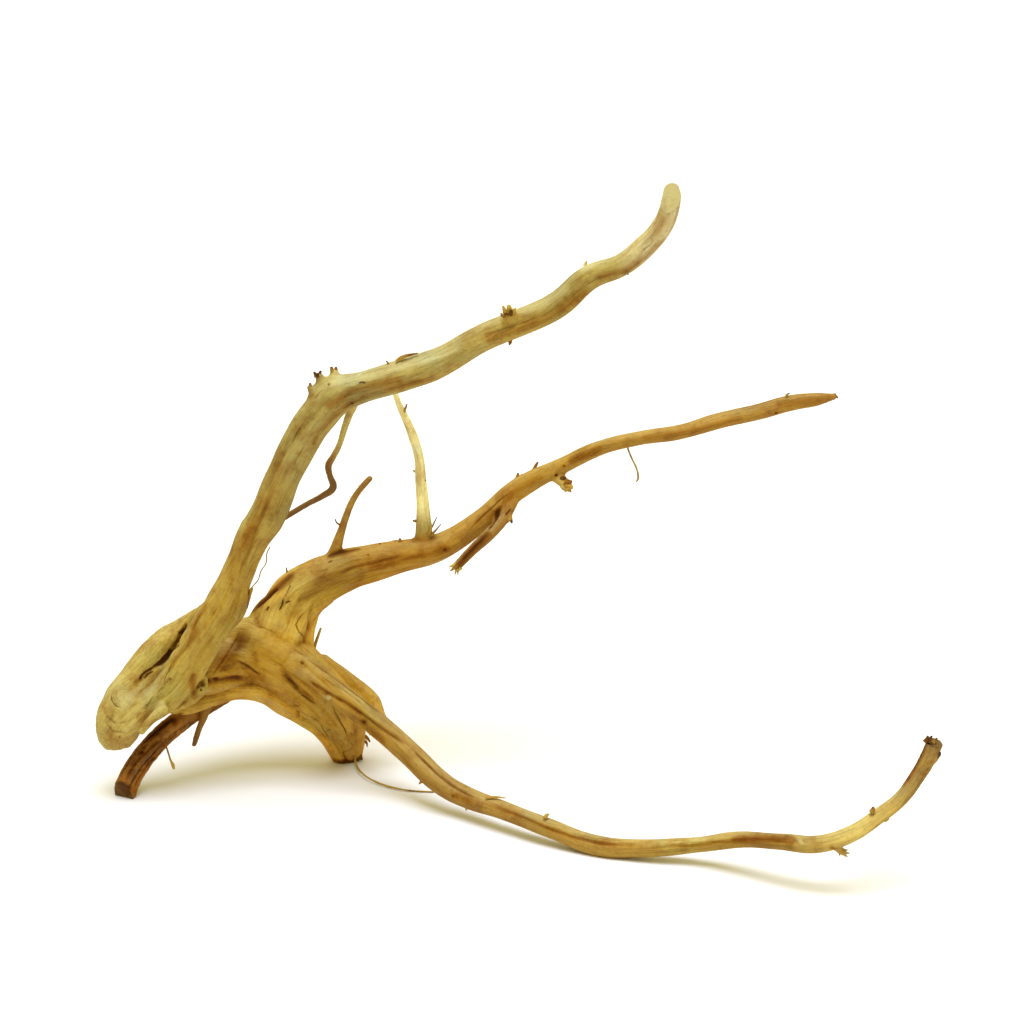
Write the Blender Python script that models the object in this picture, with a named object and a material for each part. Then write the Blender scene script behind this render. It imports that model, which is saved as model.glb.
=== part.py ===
"""Desert driftwood: one piece of sun-bleached root wood that stands on three points.

A short arched trunk carries three long limbs. The upper limb climbs and bends over at an elbow, the middle
limb sweeps back and to the right, and the lower limb runs down to the table, along it, and up again at its
sawn tip. On the left the trunk swells into a lobe, with a short bark-covered root below it. It all grew as
one, so it is one solid. X runs along the piece, Y away from its front, Z up, and the origin is below the
middle of it on the table.
"""

import math

import bmesh
import bpy
from mathutils import Matrix, Vector

MM = 0.001

# Routes are hand-set points along the heart of each limb: x, y, z and its radius there, in millimetres.
UPPER_LIMB = [
    (-206, 27, 40, 8.5),
    (-198, 30, 47, 9.5),
    (-188, 31, 54, 10),
    (-179, 31, 63, 10.3),
    (-172, 30, 74, 10.5),
    (-162, 27, 92, 10),
    (-153, 25, 107, 9.8),
    (-148, 24, 120, 8),
    (-141, 24, 132, 7.5),
    (-136, 24, 143, 8.5),
    (-130, 24, 154, 9.3),
    (-118, 24, 183, 9),
    (-111, 24, 196, 9.5),
    (-104, 24, 210, 9.5),
    (-93, 23, 221, 8.5),
    (-80, 22, 225, 7.5),
    (-60, 19, 231, 8),
    (-40, 16, 239, 8),
    (-20, 13, 251, 7),
    (0, 10, 261, 7),
    (18, 8, 270, 7),
    (34, 5, 285, 6),
    (50, 2, 292, 5.2),
    (60, 0, 300, 5),
    (68, -5, 312, 4.6),
    (71, -10, 323, 4.6),
    (71.5, -15, 334, 4.6),
]
MIDDLE_LIMB = [
    (-130, 58, 76, 14),
    (-119, 67, 95, 14),
    (-107, 71, 103, 12.5),
    (-94, 74, 109, 11),
    (-80, 77, 112, 9.5),
    (-64, 80, 115, 8.5),
    (-42, 83, 120, 7.3),
    (-21, 85, 134, 6.2),
    (0, 87, 151, 5.6),
    (21, 89, 162, 5),
    (43, 91, 172, 4),
    (64, 93, 177, 3.7),
    (85, 95, 180, 4.1),
    (106, 97, 185, 3.8),
    (128, 99, 190, 3.6),
    (144, 101, 194, 3.8),
    (157, 102, 196, 3),
    (167, 103, 197, 1.2),
]
MIDDLE_LIMB_BRACE = [
    (-118, 60, 66, 8),
    (-116, 64, 82, 7.5),
    (-112, 68, 91, 7),
    (-103, 71, 98, 6.5),
]
LOWER_LIMB = [
    (-121, 46, 69, 6),
    (-108, 43, 62, 6.5),
    (-92, 38, 50, 7),
    (-77, 33, 39.5, 6.8),
    (-62, 24, 29.5, 6.3),
    (-41, 7, 17, 6),
    (-31, 0, 13, 5.4),
    (-10, -17, 11, 4.7),
    (15, -35, 7.5, 5),
    (40, -47, 4.2, 5.2),
    (60, -53, 6, 4.6),
    (89, -59, 11, 3.8),
    (108, -68, 18, 4),
    (127, -80, 23, 4.1),
    (145, -89, 26, 4.4),
    (160, -91, 31, 4.2),
    (174, -86, 39, 3.6),
    (184, -81, 46, 3.4),
    (192, -77, 56, 3.4),
    (197, -75, 63, 3.6),
    (203, -71, 76, 4),
]
LOBE_LIP = [
    (-167, 44, 91, 4),
    (-176, 42, 85, 6.5),
    (-184, 40, 79, 7.5),
    (-193, 37, 71, 8.5),
    (-201, 34, 61, 9.5),
    (-207, 30, 52, 11),
    (-212, 27, 42, 10),
    (-212, 26, 33, 8),
    (-211, 26, 27, 4.5),
]
LOBE_CHEEK = [
    (-192, 34, 55, 10),
    (-201, 32, 48, 12),
    (-206, 28, 41, 11.5),
    (-208, 26, 33, 9),
    (-208, 26, 29, 6),
]
SHOULDER = [
    (-180, 42, 62, 12),
    (-166, 46, 64, 14),
    (-152, 52, 67, 15),
    (-140, 56, 67, 15),
]
TRUNK = [
    (-158, 60, 72, 12.5),
    (-144, 58, 72, 17),
    (-127, 56, 65, 17),
    (-112, 56, 54, 16),
    (-100, 60, 38, 14.5),
    (-93, 68, 22, 10.5),
    (-92, 77, -2, 6),
]
TRUNK_FRONT = [
    (-156, 57, 68, 10),
    (-139, 55, 63, 12),
    (-124, 54, 57, 12.3),
    (-110, 56, 45, 12),
    (-99, 61, 31, 11),
    (-94, 69, 14, 8),
    (-92, 76, -2, 5),
]
TRUNK_LIP = [
    (-186, 37, 48, 6),
    (-176, 41, 46, 6),
    (-163, 44, 48, 4.5),
    (-149, 45, 51, 4),
    (-136, 48, 49, 5),
    (-125, 53, 42, 6),
    (-114, 59, 34, 6.5),
    (-103, 66, 21, 6.5),
    (-95, 74, -2, 5),
]
TRUNK_KNUCKLE = [
    (-107, 60, 62, 7),
    (-96, 63, 52, 7.5),
    (-86, 65, 43, 7.5),
    (-80, 65, 38, 6.5),
    (-77, 62, 33, 5.5),
    (-68, 50, 24, 4.5),
]
LEFT_ROOT = [
    (-157, 62, 45, 7.5),
    (-173, 54, 37, 6),
    (-180, 48, 33, 5.6),
    (-188, 41, 28, 5.5),
    (-194, 36, 22, 5.5),
    (-199, 32, 17, 5.3),
    (-204, 27, 10, 5.3),
    (-209, 21, -3, 5),
]
LIMBS = {
    "upper_limb": UPPER_LIMB,
    "middle_limb": MIDDLE_LIMB,
    "middle_limb_brace": MIDDLE_LIMB_BRACE,
    "lower_limb": LOWER_LIMB,
    "lobe_lip": LOBE_LIP,
    "lobe_cheek": LOBE_CHEEK,
    "shoulder": SHOULDER,
    "trunk": TRUNK,
    "trunk_front": TRUNK_FRONT,
    "trunk_lip": TRUNK_LIP,
    "trunk_knuckle": TRUNK_KNUCKLE,
    "left_root": LEFT_ROOT,
}

# Dead twigs, stubs, knots and rootlets, set out in the same way. Each starts inside the limb it grew from.
TWIGS = {
    "branchlet": [
        (-51, 84, 118, 6),
        (-51, 83, 129, 4),
        (-52, 81, 143, 3.2),
        (-52, 79, 158, 3.2),
        (-53, 76, 171, 2.8),
        (-55, 73, 183, 2.6),
        (-58, 70, 193, 2.4),
        (-62, 67, 203, 1.9),
        (-67, 61, 220, 1.1),
    ],
    "crooked_twig": [
        (-80, 24, 221, 3),
        (-82, 32, 212, 2.3),
        (-85, 38, 206, 2),
        (-90, 41, 196, 1.6),
        (-96, 45, 181, 1.6),
        (-98, 46, 176, 1.6),
        (-97, 49, 163, 2.1),
        (-102, 51, 158, 1.8),
        (-119, 55, 147, 1.6),
        (-129, 57, 140, 1.4),
    ],
    "thumb_twig": [
        (-100, 76, 112, 5),
        (-97, 74, 121, 3.2),
        (-92, 72, 139, 2),
        (-89, 71, 148, 1.9),
        (-85, 69, 155, 1.7),
        (-78, 66, 163, 1.4),
    ],
    "split_strip": [
        (-4, 84, 147, 3.8),
        (-10, 78, 137, 3.4),
        (-17, 74, 130, 2.9),
        (-25, 71, 123, 2.6),
        (-35, 68, 112, 2),
    ],
    "short_stub": [
        (17, 89, 161, 3.2),
        (23, 86, 156, 2.7),
        (26, 84, 152, 2.4),
        (28, 83, 149, 0.8),
    ],
    "trunk_spur": [
        (-160, 52, 52, 5),
        (-166, 49, 40, 2.4),
        (-168, 47, 35, 1.9),
        (-170, 45, 29, 1.7),
        (-173, 42, 20, 1),
    ],
    "peg": [
        (-112, 68, 64, 2),
        (-108, 69, 73, 1),
        (-106, 68, 79, 0.7),
    ],
    "elbow_spike": [
        (-98, 22, 216, 4),
        (-105, 20, 224, 1.8),
        (-105, 19, 229, 0.7),
    ],
    "elbow_knob_left": [
        (-96, 22, 220, 4),
        (-100, 22, 229, 1.9),
        (-101, 22, 233, 1.5),
    ],
    "elbow_knob_right": [
        (-92, 23, 220, 4),
        (-93, 24, 230, 1.8),
        (-93, 25, 235, 1.4),
    ],
    "limb_knot": [
        (-3, 10, 260, 3.6),
        (-4, 7, 267, 3.2),
        (-5, 5, 271, 2.2),
    ],
    "broken_nub": [
        (-11, 82, 142, 3.5),
        (-7, 79, 138, 2.2),
        (-4, 78, 135, 1.5),
    ],
    "short_thorn": [
        (7, 86, 156, 2.4),
        (9, 85, 161, 1.2),
        (10, 84, 165, 0.7),
    ],
    "low_stub": [
        (150, -88, 27, 3.5),
        (156, -89, 21, 1.8),
        (160, -89, 18, 1.1),
    ],
    "tip_stub": [
        (196, -75, 62, 2.6),
        (201, -75, 64, 1.5),
        (204, -75, 67, 1.1),
    ],
}

# Clefts and hollows are set out in the same way, just below the surface that they open.
HOLLOWS = {
    "lobe_slit": [
        (-174, 40, 91, 1.5),
        (-176, 36, 87, 2),
        (-178, 33, 83, 2.3),
        (-182, 31, 78, 2.3),
        (-187, 30, 73, 2),
        (-192, 28, 70, 1.8),
        (-197, 27, 68, 1.2),
    ],
    "lip_hollow": [
        (-171, 37, 58, 2.5),
        (-167, 34, 60, 3.2),
        (-162, 35, 62, 3.2),
        (-156, 37, 62, 2.8),
        (-150, 40, 60, 2),
        (-144, 42, 58, 1.4),
    ],
    "trunk_crack": [
        (-149, 40, 71, 1),
        (-141, 42, 66, 1.5),
        (-134, 41, 62, 1),
    ],
    "trunk_slot": [
        (-124, 41, 62, 1.2),
        (-120, 42, 57, 1.8),
        (-116, 42, 52, 1.2),
    ],
    "worm_hole": [
        (-118, 44, 36, 1.5),
        (-118, 54, 37, 1.3),
    ],
    "limb_groove": [
        (-96, 33, 54, 0.9),
        (-88, 31, 50, 1.3),
        (-73, 26, 40, 1.3),
        (-57, 19, 32, 1.3),
        (-45, 8, 24, 0.9),
    ],
}

# A sawn end is a point on the cut and the way the cut face looks.
SAWN_ENDS = {
    "upper_limb_cut": ((71, -12, 329), (0.15, -0.75, 0.65)),
    "lower_limb_cut": ((201, -72, 73), (0.5, 0.45, 0.75)),
}
SAW_SIZE = 30 * MM

# Low ridges run along each limb. A flute is a number of ridges round it, their height and their turn, on a
# limb of radius 1.
FLUTES = ((2, 0.05, 0.4), (3, 0.05, 1.9), (5, 0.03, 0.7))
FLUTE_BASE = 0.94
FLUTE_POINTS = 24
TWIST_PER_MM = 0.012

# Steps are cross-sections from one route point to the next, and sides are faces round a plain round tube.
LIMB_STEPS = 5
TWIG_STEPS = 2
TWIG_SIDES = 6
CUTTER_SIDES = 8
WELD = 0.001 * MM

# The skin is wrapped over the limbs, smoothed, which takes a little off them, and thinned to fewer faces.
SMOOTHING_LOSS = 0.5
SKIN_VOXEL = 1.3 * MM
SMOOTHING_STRENGTH = 0.5
SMOOTHING_PASSES = 10
FACES_KEPT = 0.068

WOOD_COLOR = (0.52, 0.36, 0.16, 1)
WOOD_ROUGHNESS = 0.7


def clear_scene():
    """Removes whatever the file holds at the start."""
    for obj in list(bpy.data.objects):
        bpy.data.objects.remove(obj)


def wood():
    """Bare weathered wood, ochre and dull."""
    material = bpy.data.materials.new("driftwood")
    material.use_nodes = True
    shader = material.node_tree.nodes["Principled BSDF"]
    shader.inputs["Base Color"].default_value = WOOD_COLOR
    shader.inputs["Roughness"].default_value = WOOD_ROUGHNESS
    shader.inputs["Metallic"].default_value = 0
    return material


def linked(name, data):
    """A new object for this mesh or curve, in the scene."""
    obj = bpy.data.objects.new(name, data)
    bpy.context.scene.collection.objects.link(obj)
    return obj


def fluted_profile():
    """The closed outline of a weathered limb, 1 mm in radius: round, with a few low ridges."""
    curve = bpy.data.curves.new("flutes", "CURVE")
    spline = curve.splines.new("POLY")
    spline.points.add(FLUTE_POINTS - 1)
    spline.use_cyclic_u = True
    for index, point in enumerate(spline.points):
        angle = 2 * math.pi * index / FLUTE_POINTS
        ridges = sum(height * math.cos(count * angle + turn) for count, height, turn in FLUTES)
        radius = MM * (FLUTE_BASE + ridges)
        point.co = (radius * math.cos(angle), radius * math.sin(angle), 0, 1)
    return linked("flutes", curve)


def tube(name, route, profile=None, sides=TWIG_SIDES, gain=0.0):
    """A closed mesh tube along the route, round or with the profile's ridges turning slowly along it."""
    curve = bpy.data.curves.new(name, "CURVE")
    curve.dimensions = "3D"
    curve.resolution_u = LIMB_STEPS if profile else TWIG_STEPS
    curve.use_fill_caps = True
    if profile:
        curve.bevel_mode = "OBJECT"
        curve.bevel_object = profile
    else:
        curve.bevel_depth = MM
        curve.bevel_resolution = sides // 2 - 2
    spline = curve.splines.new("BEZIER")
    spline.bezier_points.add(len(route) - 1)
    run = 0.0
    last = Vector(route[0][:3])
    for point, (x, y, z, radius) in zip(spline.bezier_points, route):
        run += (Vector((x, y, z)) - last).length
        last = Vector((x, y, z))
        point.co = last * MM
        point.handle_left_type = point.handle_right_type = "AUTO"
        point.radius = radius + gain
        point.tilt = run * TWIST_PER_MM
    guide = linked(name, curve)
    graph = bpy.context.evaluated_depsgraph_get()
    mesh = bpy.data.meshes.new_from_object(guide.evaluated_get(graph))
    bpy.data.objects.remove(guide)
    tidy = bmesh.new()
    tidy.from_mesh(mesh)
    bmesh.ops.remove_doubles(tidy, verts=tidy.verts, dist=WELD)
    bmesh.ops.recalc_face_normals(tidy, faces=tidy.faces)
    tidy.to_mesh(mesh)
    tidy.free()
    return linked(name, mesh)


def joined(name, objects):
    """One object with the meshes of all these, which are then removed."""
    both = bmesh.new()
    for obj in objects:
        both.from_mesh(obj.data)
        bpy.data.objects.remove(obj)
    mesh = bpy.data.meshes.new(name)
    both.to_mesh(mesh)
    both.free()
    return linked(name, mesh)


def apply_modifiers(obj):
    """Gives the object the mesh that its modifiers make, and takes them off."""
    graph = bpy.context.evaluated_depsgraph_get()
    mesh = bpy.data.meshes.new_from_object(obj.evaluated_get(graph))
    obj.modifiers.clear()
    obj.data = mesh


def grow_together(obj):
    """Gives the overlapping limbs, or a freshly cut body, one even skin."""
    skin = obj.modifiers.new("Skin", "REMESH")
    skin.mode = "VOXEL"
    skin.voxel_size = SKIN_VOXEL
    apply_modifiers(obj)


def wear_smooth(obj):
    """Softens the seams between the limbs and thins out the faces."""
    worn = obj.modifiers.new("Worn", "SMOOTH")
    worn.factor = SMOOTHING_STRENGTH
    worn.iterations = SMOOTHING_PASSES
    fewer = obj.modifiers.new("Fewer faces", "DECIMATE")
    fewer.ratio = FACES_KEPT
    apply_modifiers(obj)


def saw_block(name, point, facing):
    """A block whose lower face lies on the cut, with the wood below it."""
    block = bmesh.new()
    bmesh.ops.create_cube(block, size=SAW_SIZE)
    turn = Vector(facing).to_track_quat("Z", "Y").to_matrix().to_4x4()
    place = Matrix.Translation(Vector(point) * MM) @ turn @ Matrix.Translation((0, 0, SAW_SIZE / 2))
    bmesh.ops.transform(block, matrix=place, verts=block.verts)
    mesh = bpy.data.meshes.new(name)
    block.to_mesh(mesh)
    block.free()
    return linked(name, mesh)


def combine(obj, operation, others):
    """One exact Boolean with a collection of the others, which are then removed."""
    group = bpy.data.collections.new(operation)
    bpy.context.scene.collection.children.link(group)
    for other in others:
        group.objects.link(other)
    modifier = obj.modifiers.new(operation, "BOOLEAN")
    modifier.operation = operation
    modifier.operand_type = "COLLECTION"
    modifier.collection = group
    modifier.solver = "EXACT"
    bpy.context.view_layer.update()
    apply_modifiers(obj)
    for other in others:
        bpy.data.objects.remove(other)
    bpy.data.collections.remove(group)


def cut_flat_at_table(obj):
    """Cuts the piece off flat at the table, where its three feet touch."""
    body = bmesh.new()
    body.from_mesh(obj.data)
    cut = bmesh.ops.bisect_plane(
        body,
        geom=body.verts[:] + body.edges[:] + body.faces[:],
        plane_co=(0, 0, 0),
        plane_no=(0, 0, -1),
        clear_outer=True,
    )
    rim = [edge for edge in cut["geom_cut"] if isinstance(edge, bmesh.types.BMEdge)]
    bmesh.ops.triangle_fill(body, use_beauty=True, edges=rim)
    bmesh.ops.triangulate(body, faces=body.faces)
    bmesh.ops.recalc_face_normals(body, faces=body.faces)
    body.to_mesh(obj.data)
    body.free()


def centre_over_origin(obj):
    """Moves the piece sideways, so that the origin is below the middle of its box."""
    for axis in (0, 1):
        span = [vertex.co[axis] for vertex in obj.data.vertices]
        obj.location[axis] = -(min(span) + max(span)) / 2


def driftwood():
    """The whole piece: limbs grown together, cut hollow and worn smooth, then its twigs and its cut ends."""
    flutes = fluted_profile()
    strands = [tube(name, route, flutes, gain=SMOOTHING_LOSS) for name, route in LIMBS.items()]
    bpy.data.objects.remove(flutes)
    piece = joined("driftwood", strands)
    grow_together(piece)
    combine(piece, "DIFFERENCE", [tube(name, route, sides=CUTTER_SIDES) for name, route in HOLLOWS.items()])
    grow_together(piece)
    wear_smooth(piece)
    combine(piece, "UNION", [tube(name, route) for name, route in TWIGS.items()])
    combine(piece, "DIFFERENCE", [saw_block(name, *cut) for name, cut in SAWN_ENDS.items()])
    cut_flat_at_table(piece)
    centre_over_origin(piece)
    piece.data.materials.clear()
    piece.data.materials.append(wood())
    piece.data.shade_smooth()
    return piece


clear_scene()
driftwood()
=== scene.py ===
"""The looks of the desert driftwood: one finely grained skin in place of the plain solid, and its thorns.

The skin is grown from the same limbs as the solid. Its grain follows the heart of each limb, and cracks,
grooves, knots and stains are laid on it where the photograph shows them. A few of these marks, and the
colour of undersides, upper sides and hollows, carry painted shade and light. Lengths in the tables are in
millimetres.
"""

import logging
import math
import random
from collections.abc import Iterable, Sequence
from dataclasses import dataclass, field
from enum import Enum
from functools import partial
from typing import ClassVar

import bmesh
import bpy
import numpy as np
from mathutils import Euler, Matrix, Vector, kdtree, noise
from mathutils.bvhtree import BVHTree


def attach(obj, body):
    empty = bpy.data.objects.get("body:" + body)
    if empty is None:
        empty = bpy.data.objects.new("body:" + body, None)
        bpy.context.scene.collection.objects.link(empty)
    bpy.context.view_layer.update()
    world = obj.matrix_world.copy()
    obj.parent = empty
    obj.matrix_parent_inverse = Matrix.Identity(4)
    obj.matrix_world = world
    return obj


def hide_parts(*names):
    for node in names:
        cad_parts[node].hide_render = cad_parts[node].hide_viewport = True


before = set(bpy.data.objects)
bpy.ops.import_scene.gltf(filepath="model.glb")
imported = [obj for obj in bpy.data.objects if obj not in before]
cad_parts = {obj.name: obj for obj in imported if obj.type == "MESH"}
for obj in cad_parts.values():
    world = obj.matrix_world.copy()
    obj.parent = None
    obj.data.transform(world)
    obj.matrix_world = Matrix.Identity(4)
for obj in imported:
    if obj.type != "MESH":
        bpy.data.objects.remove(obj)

log = logging.getLogger("driftwood")

MM = 0.001
NODE = "driftwood"
BODY = "root"

# The routes are set out from a point on the table this far, in millimetres, from the frame's origin.
SET_OUT = Vector((8.147, -4.614, 0.0))

# A limb that is nowhere thicker than this radius, in millimetres, is a twig.
TWIG_RADIUS = 6.4

# The profiles of cracks and knots, as shares of a mark's depth and half width.
CRACK_DEPTH = 0.7
KNOT_DIMPLE = 0.28
KNOT_RIM = 0.55
KNOT_RIM_WIDTH = 0.25

Route = tuple[tuple[float, float, float, float], ...]
Pixels = tuple[tuple[float, float], ...]
Colour = tuple[float, float, float]


class Flow(Enum):
    """The three families of grain, which mingle where limbs of different families meet."""

    REACHING = 0
    TRUNK = 1
    BACK = 2


@dataclass(frozen=True)
class Shade:
    """The wood's colour some way along a limb.

    Attributes:
        along: Millimetres from the route's start.
        colour: Red, green and blue, as light values.
    """

    along: float
    colour: Colour


@dataclass(frozen=True)
class Limb:
    """One strand of the grown wood.

    Attributes:
        route: Points along its heart, as x, y, z and radius in millimetres.
        flow: The family of grain that it belongs to.
        shades: Its colours along its length. A limb with a guide takes them from the guide.
        painted_top_light_and_bleach: How far its upper side is paled, partly as sun bleaching and partly as
            painted light from above, from 0 to 1.
        bark: How much bark it keeps, from 0 to 1.
        guide: The limb whose heart its grain follows, if not its own.
    """

    route: Route
    flow: Flow
    shades: tuple[Shade, ...] = ()
    painted_top_light_and_bleach: float = 0.3
    bark: float = 0.0
    guide: str = ""

    @property
    def thick(self) -> bool:
        """Whether it is a limb and not a twig."""
        return max(row[3] for row in self.route) > TWIG_RADIUS


YELLOW: Colour = (0.56, 0.43, 0.12)
PALE: Colour = (0.70, 0.58, 0.23)
OCHRE: Colour = (0.48, 0.31, 0.055)
TAN: Colour = (0.42, 0.25, 0.04)
ORANGE: Colour = (0.40, 0.20, 0.024)
RUST: Colour = (0.29, 0.12, 0.015)
BROWN: Colour = (0.17, 0.07, 0.013)
DARK: Colour = (0.07, 0.03, 0.010)
OLIVE: Colour = (0.44, 0.34, 0.09)

UPPER_LIMB: Route = (
    (-206, 27, 40, 8.5), (-198, 30, 47, 9.5), (-188, 31, 54, 10), (-179, 31, 63, 10.3), (-172, 30, 74, 10.5),
    (-162, 27, 92, 10), (-153, 25, 107, 9.8), (-147, 24, 119.6, 8.4), (-141.5, 24, 132.2, 7.7),
    (-136.4, 24, 143.2, 8.7), (-129.4, 24, 153.8, 9.4), (-116.9, 24, 182.5, 9.3), (-110.4, 24, 195.8, 9.7),
    (-102.2, 24, 208.8, 10.4), (-92, 23, 219.6, 10.2), (-79, 22, 224.4, 8.6), (-60, 19, 230.8, 8.7),
    (-40, 16, 238.8, 7.8), (-20, 13, 251, 6.9), (0, 10, 260.4, 6.8), (18, 8, 269.7, 6.6), (34.2, 5, 284.7, 6),
    (50, 2, 292, 5.4), (59.4, 0, 300.6, 5.7), (67.8, -5, 312, 5.2), (71.4, -10, 323, 4.8),
    (72.2, -15, 336, 4.7),
)
MIDDLE_LIMB: Route = (
    (-130, 58, 76, 14), (-119.4, 67, 95.4, 14.2), (-107.3, 71, 103.5, 12.7), (-94, 74, 109, 11.3),
    (-80, 77, 112, 10), (-64, 80, 114.4, 8.8), (-41.6, 83, 119, 7.3), (-20.3, 85, 133.1, 6.1),
    (0, 87, 150.8, 6), (21, 89, 162, 4.9), (43, 91, 172, 4.3), (64, 93, 176.6, 4), (85, 95, 179.3, 4.2),
    (106, 97, 185, 4.2), (128, 99, 189.5, 4.2), (144, 101, 193.5, 4.3), (157, 102, 195.3, 3.6),
    (168.4, 103, 196.8, 1.5),
)
LOWER_LIMB: Route = (
    (-121, 46, 69, 6), (-108, 43, 62, 6.2), (-92, 38, 50, 6.7), (-77, 33, 39.5, 6.4), (-62, 24, 29.5, 6.3),
    (-41.8, 7, 16.2, 6), (-31.4, 0, 12.2, 5.6), (-10, -17, 11, 4.9), (15.4, -35, 8.5, 5), (40, -47, 4.7, 5.5),
    (60, -53, 6.3, 5), (89, -59, 10.9, 4.2), (108, -68, 17.6, 4.3), (127, -80, 22.1, 4.1),
    (145, -89, 24.9, 4.4), (160, -91, 31, 4.1), (174.2, -86, 38.7, 3.8), (184.8, -81, 45.3, 3.5),
    (193, -77, 55.4, 3.5), (198, -75, 64, 3.8), (203.6, -71, 79, 4.6),
)
LOBE_LIP: Route = (
    (-160, 33, 101, 3), (-169, 42, 94, 4.8), (-177, 42, 86, 7.6), (-185.2, 40, 80.2, 8.8),
    (-193.4, 37, 71.4, 9.1),
    (-201, 34, 61, 9.8), (-207, 30, 52, 11), (-212, 27, 42, 10), (-212.4, 26, 33, 8.6), (-212.6, 26, 27, 5),
)
LOBE_CHEEK: Route = (
    (-192, 34, 55, 10), (-201, 32, 48, 12), (-206, 28, 41, 11.5), (-208, 26, 33, 9), (-208, 26, 29, 6),
)
LOBE_SADDLE: Route = (
    (-179, 40, 87, 4.5), (-174, 38, 90, 4), (-169, 35, 95, 4), (-165, 31, 100, 4), (-160, 28, 105, 4),
)
LOBE_CHIN: Route = ((-184, 22, 52, 3.2), (-188, 20, 49, 2.6), (-193, 19, 44, 2.2), (-197.5, 19, 38, 1.7))
LIMB_HEEL: Route = (
    (-163.5, 28, 66, 2.2), (-166.4, 29, 59.6, 3.4), (-171.3, 30, 54.4, 4), (-177.4, 31, 50.6, 3.8),
    (-184, 31, 47.6, 2.6),
)
LIMB_FLARE: Route = (
    (-142.6, 24, 126, 3.6), (-143.6, 24, 116.5, 5), (-144.6, 24, 110.2, 5.6), (-147, 25, 103.6, 5.4),
    (-151, 27, 96, 4),
)
ELBOW_CREST: Route = (
    (-104, 22, 216, 3.5), (-102, 22, 220.4, 4), (-98, 22, 224.4, 4.5), (-92, 22, 225.6, 4.5),
    (-85, 22, 227, 4.3), (-78, 21, 229, 3.6),
)
SHOULDER: Route = (
    (-201, 33, 50, 6), (-192, 37, 57, 9.5), (-180, 42, 62, 12), (-166, 46, 64, 14), (-152, 52, 67, 15),
    (-140, 56, 67, 15),
)
BACK_WEB: Route = (
    (-180, 45, 64, 8), (-170, 54, 70, 9.5), (-158, 62, 73, 10.5), (-142, 66, 75.5, 10.4), (-128, 70, 82, 10),
    (-114, 74, 93, 8),
)
TRUNK: Route = (
    (-158, 60, 72, 12.5), (-144, 58, 72, 17), (-127, 56, 65, 17), (-112, 56, 53.6, 15),
    (-100, 60, 37.6, 13.6),
    (-93, 68, 22, 10.2), (-92, 77, -2, 6),
)
TRUNK_FRONT: Route = (
    (-156, 57, 68, 10), (-139, 55, 63, 12), (-124, 54, 57, 12.3), (-110, 56, 45, 12), (-99, 61, 31, 11),
    (-94, 69, 14, 8), (-92, 76, -2, 5),
)
TRUNK_LIP: Route = (
    (-196, 33, 47, 4.5), (-186, 37, 48, 6), (-176, 41, 46, 6), (-163, 44, 48, 4.5), (-149, 45, 51, 4),
    (-136, 48, 49, 5),
    (-125, 53, 41, 6.2), (-114, 59, 32.6, 6.8), (-103, 66, 20, 6.8), (-95, 74, -2, 5),
)
TRUNK_KNUCKLE: Route = (
    (-107, 60, 62, 6.4), (-96.6, 63, 51.6, 7), (-86.6, 65, 42.6, 7), (-80.6, 65, 37.6, 6.2),
    (-77.6, 62.4, 33.5, 5.2),
    (-73.6, 57, 29, 3.6), (-70.6, 53, 25.6, 1.8),
)
MIDDLE_BRACE: Route = ((-118, 60, 66, 8), (-116, 64, 82, 7.5), (-112, 68, 91, 7), (-103, 71, 98, 6.5))
MIDDLE_WEB: Route = (
    (-142, 60, 81, 4), (-140, 62, 85, 4.5), (-135, 65, 91, 5), (-130, 67, 94, 5.5), (-122, 70, 99, 6),
    (-113, 72, 104, 6.5),
)
LEFT_ROOT: Route = (
    (-146, 61, 57, 6.5), (-157, 61, 46, 7.4), (-173, 54, 37, 6.2), (-180, 48, 33.4, 6),
    (-188.6, 41, 28.4, 6.3),
    (-195.2, 36, 22.6, 6.4), (-200.8, 31, 16, 6.3), (-205.6, 26, 8.6, 6.1), (-210.4, 20.8, -4, 5.9),
)

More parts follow.
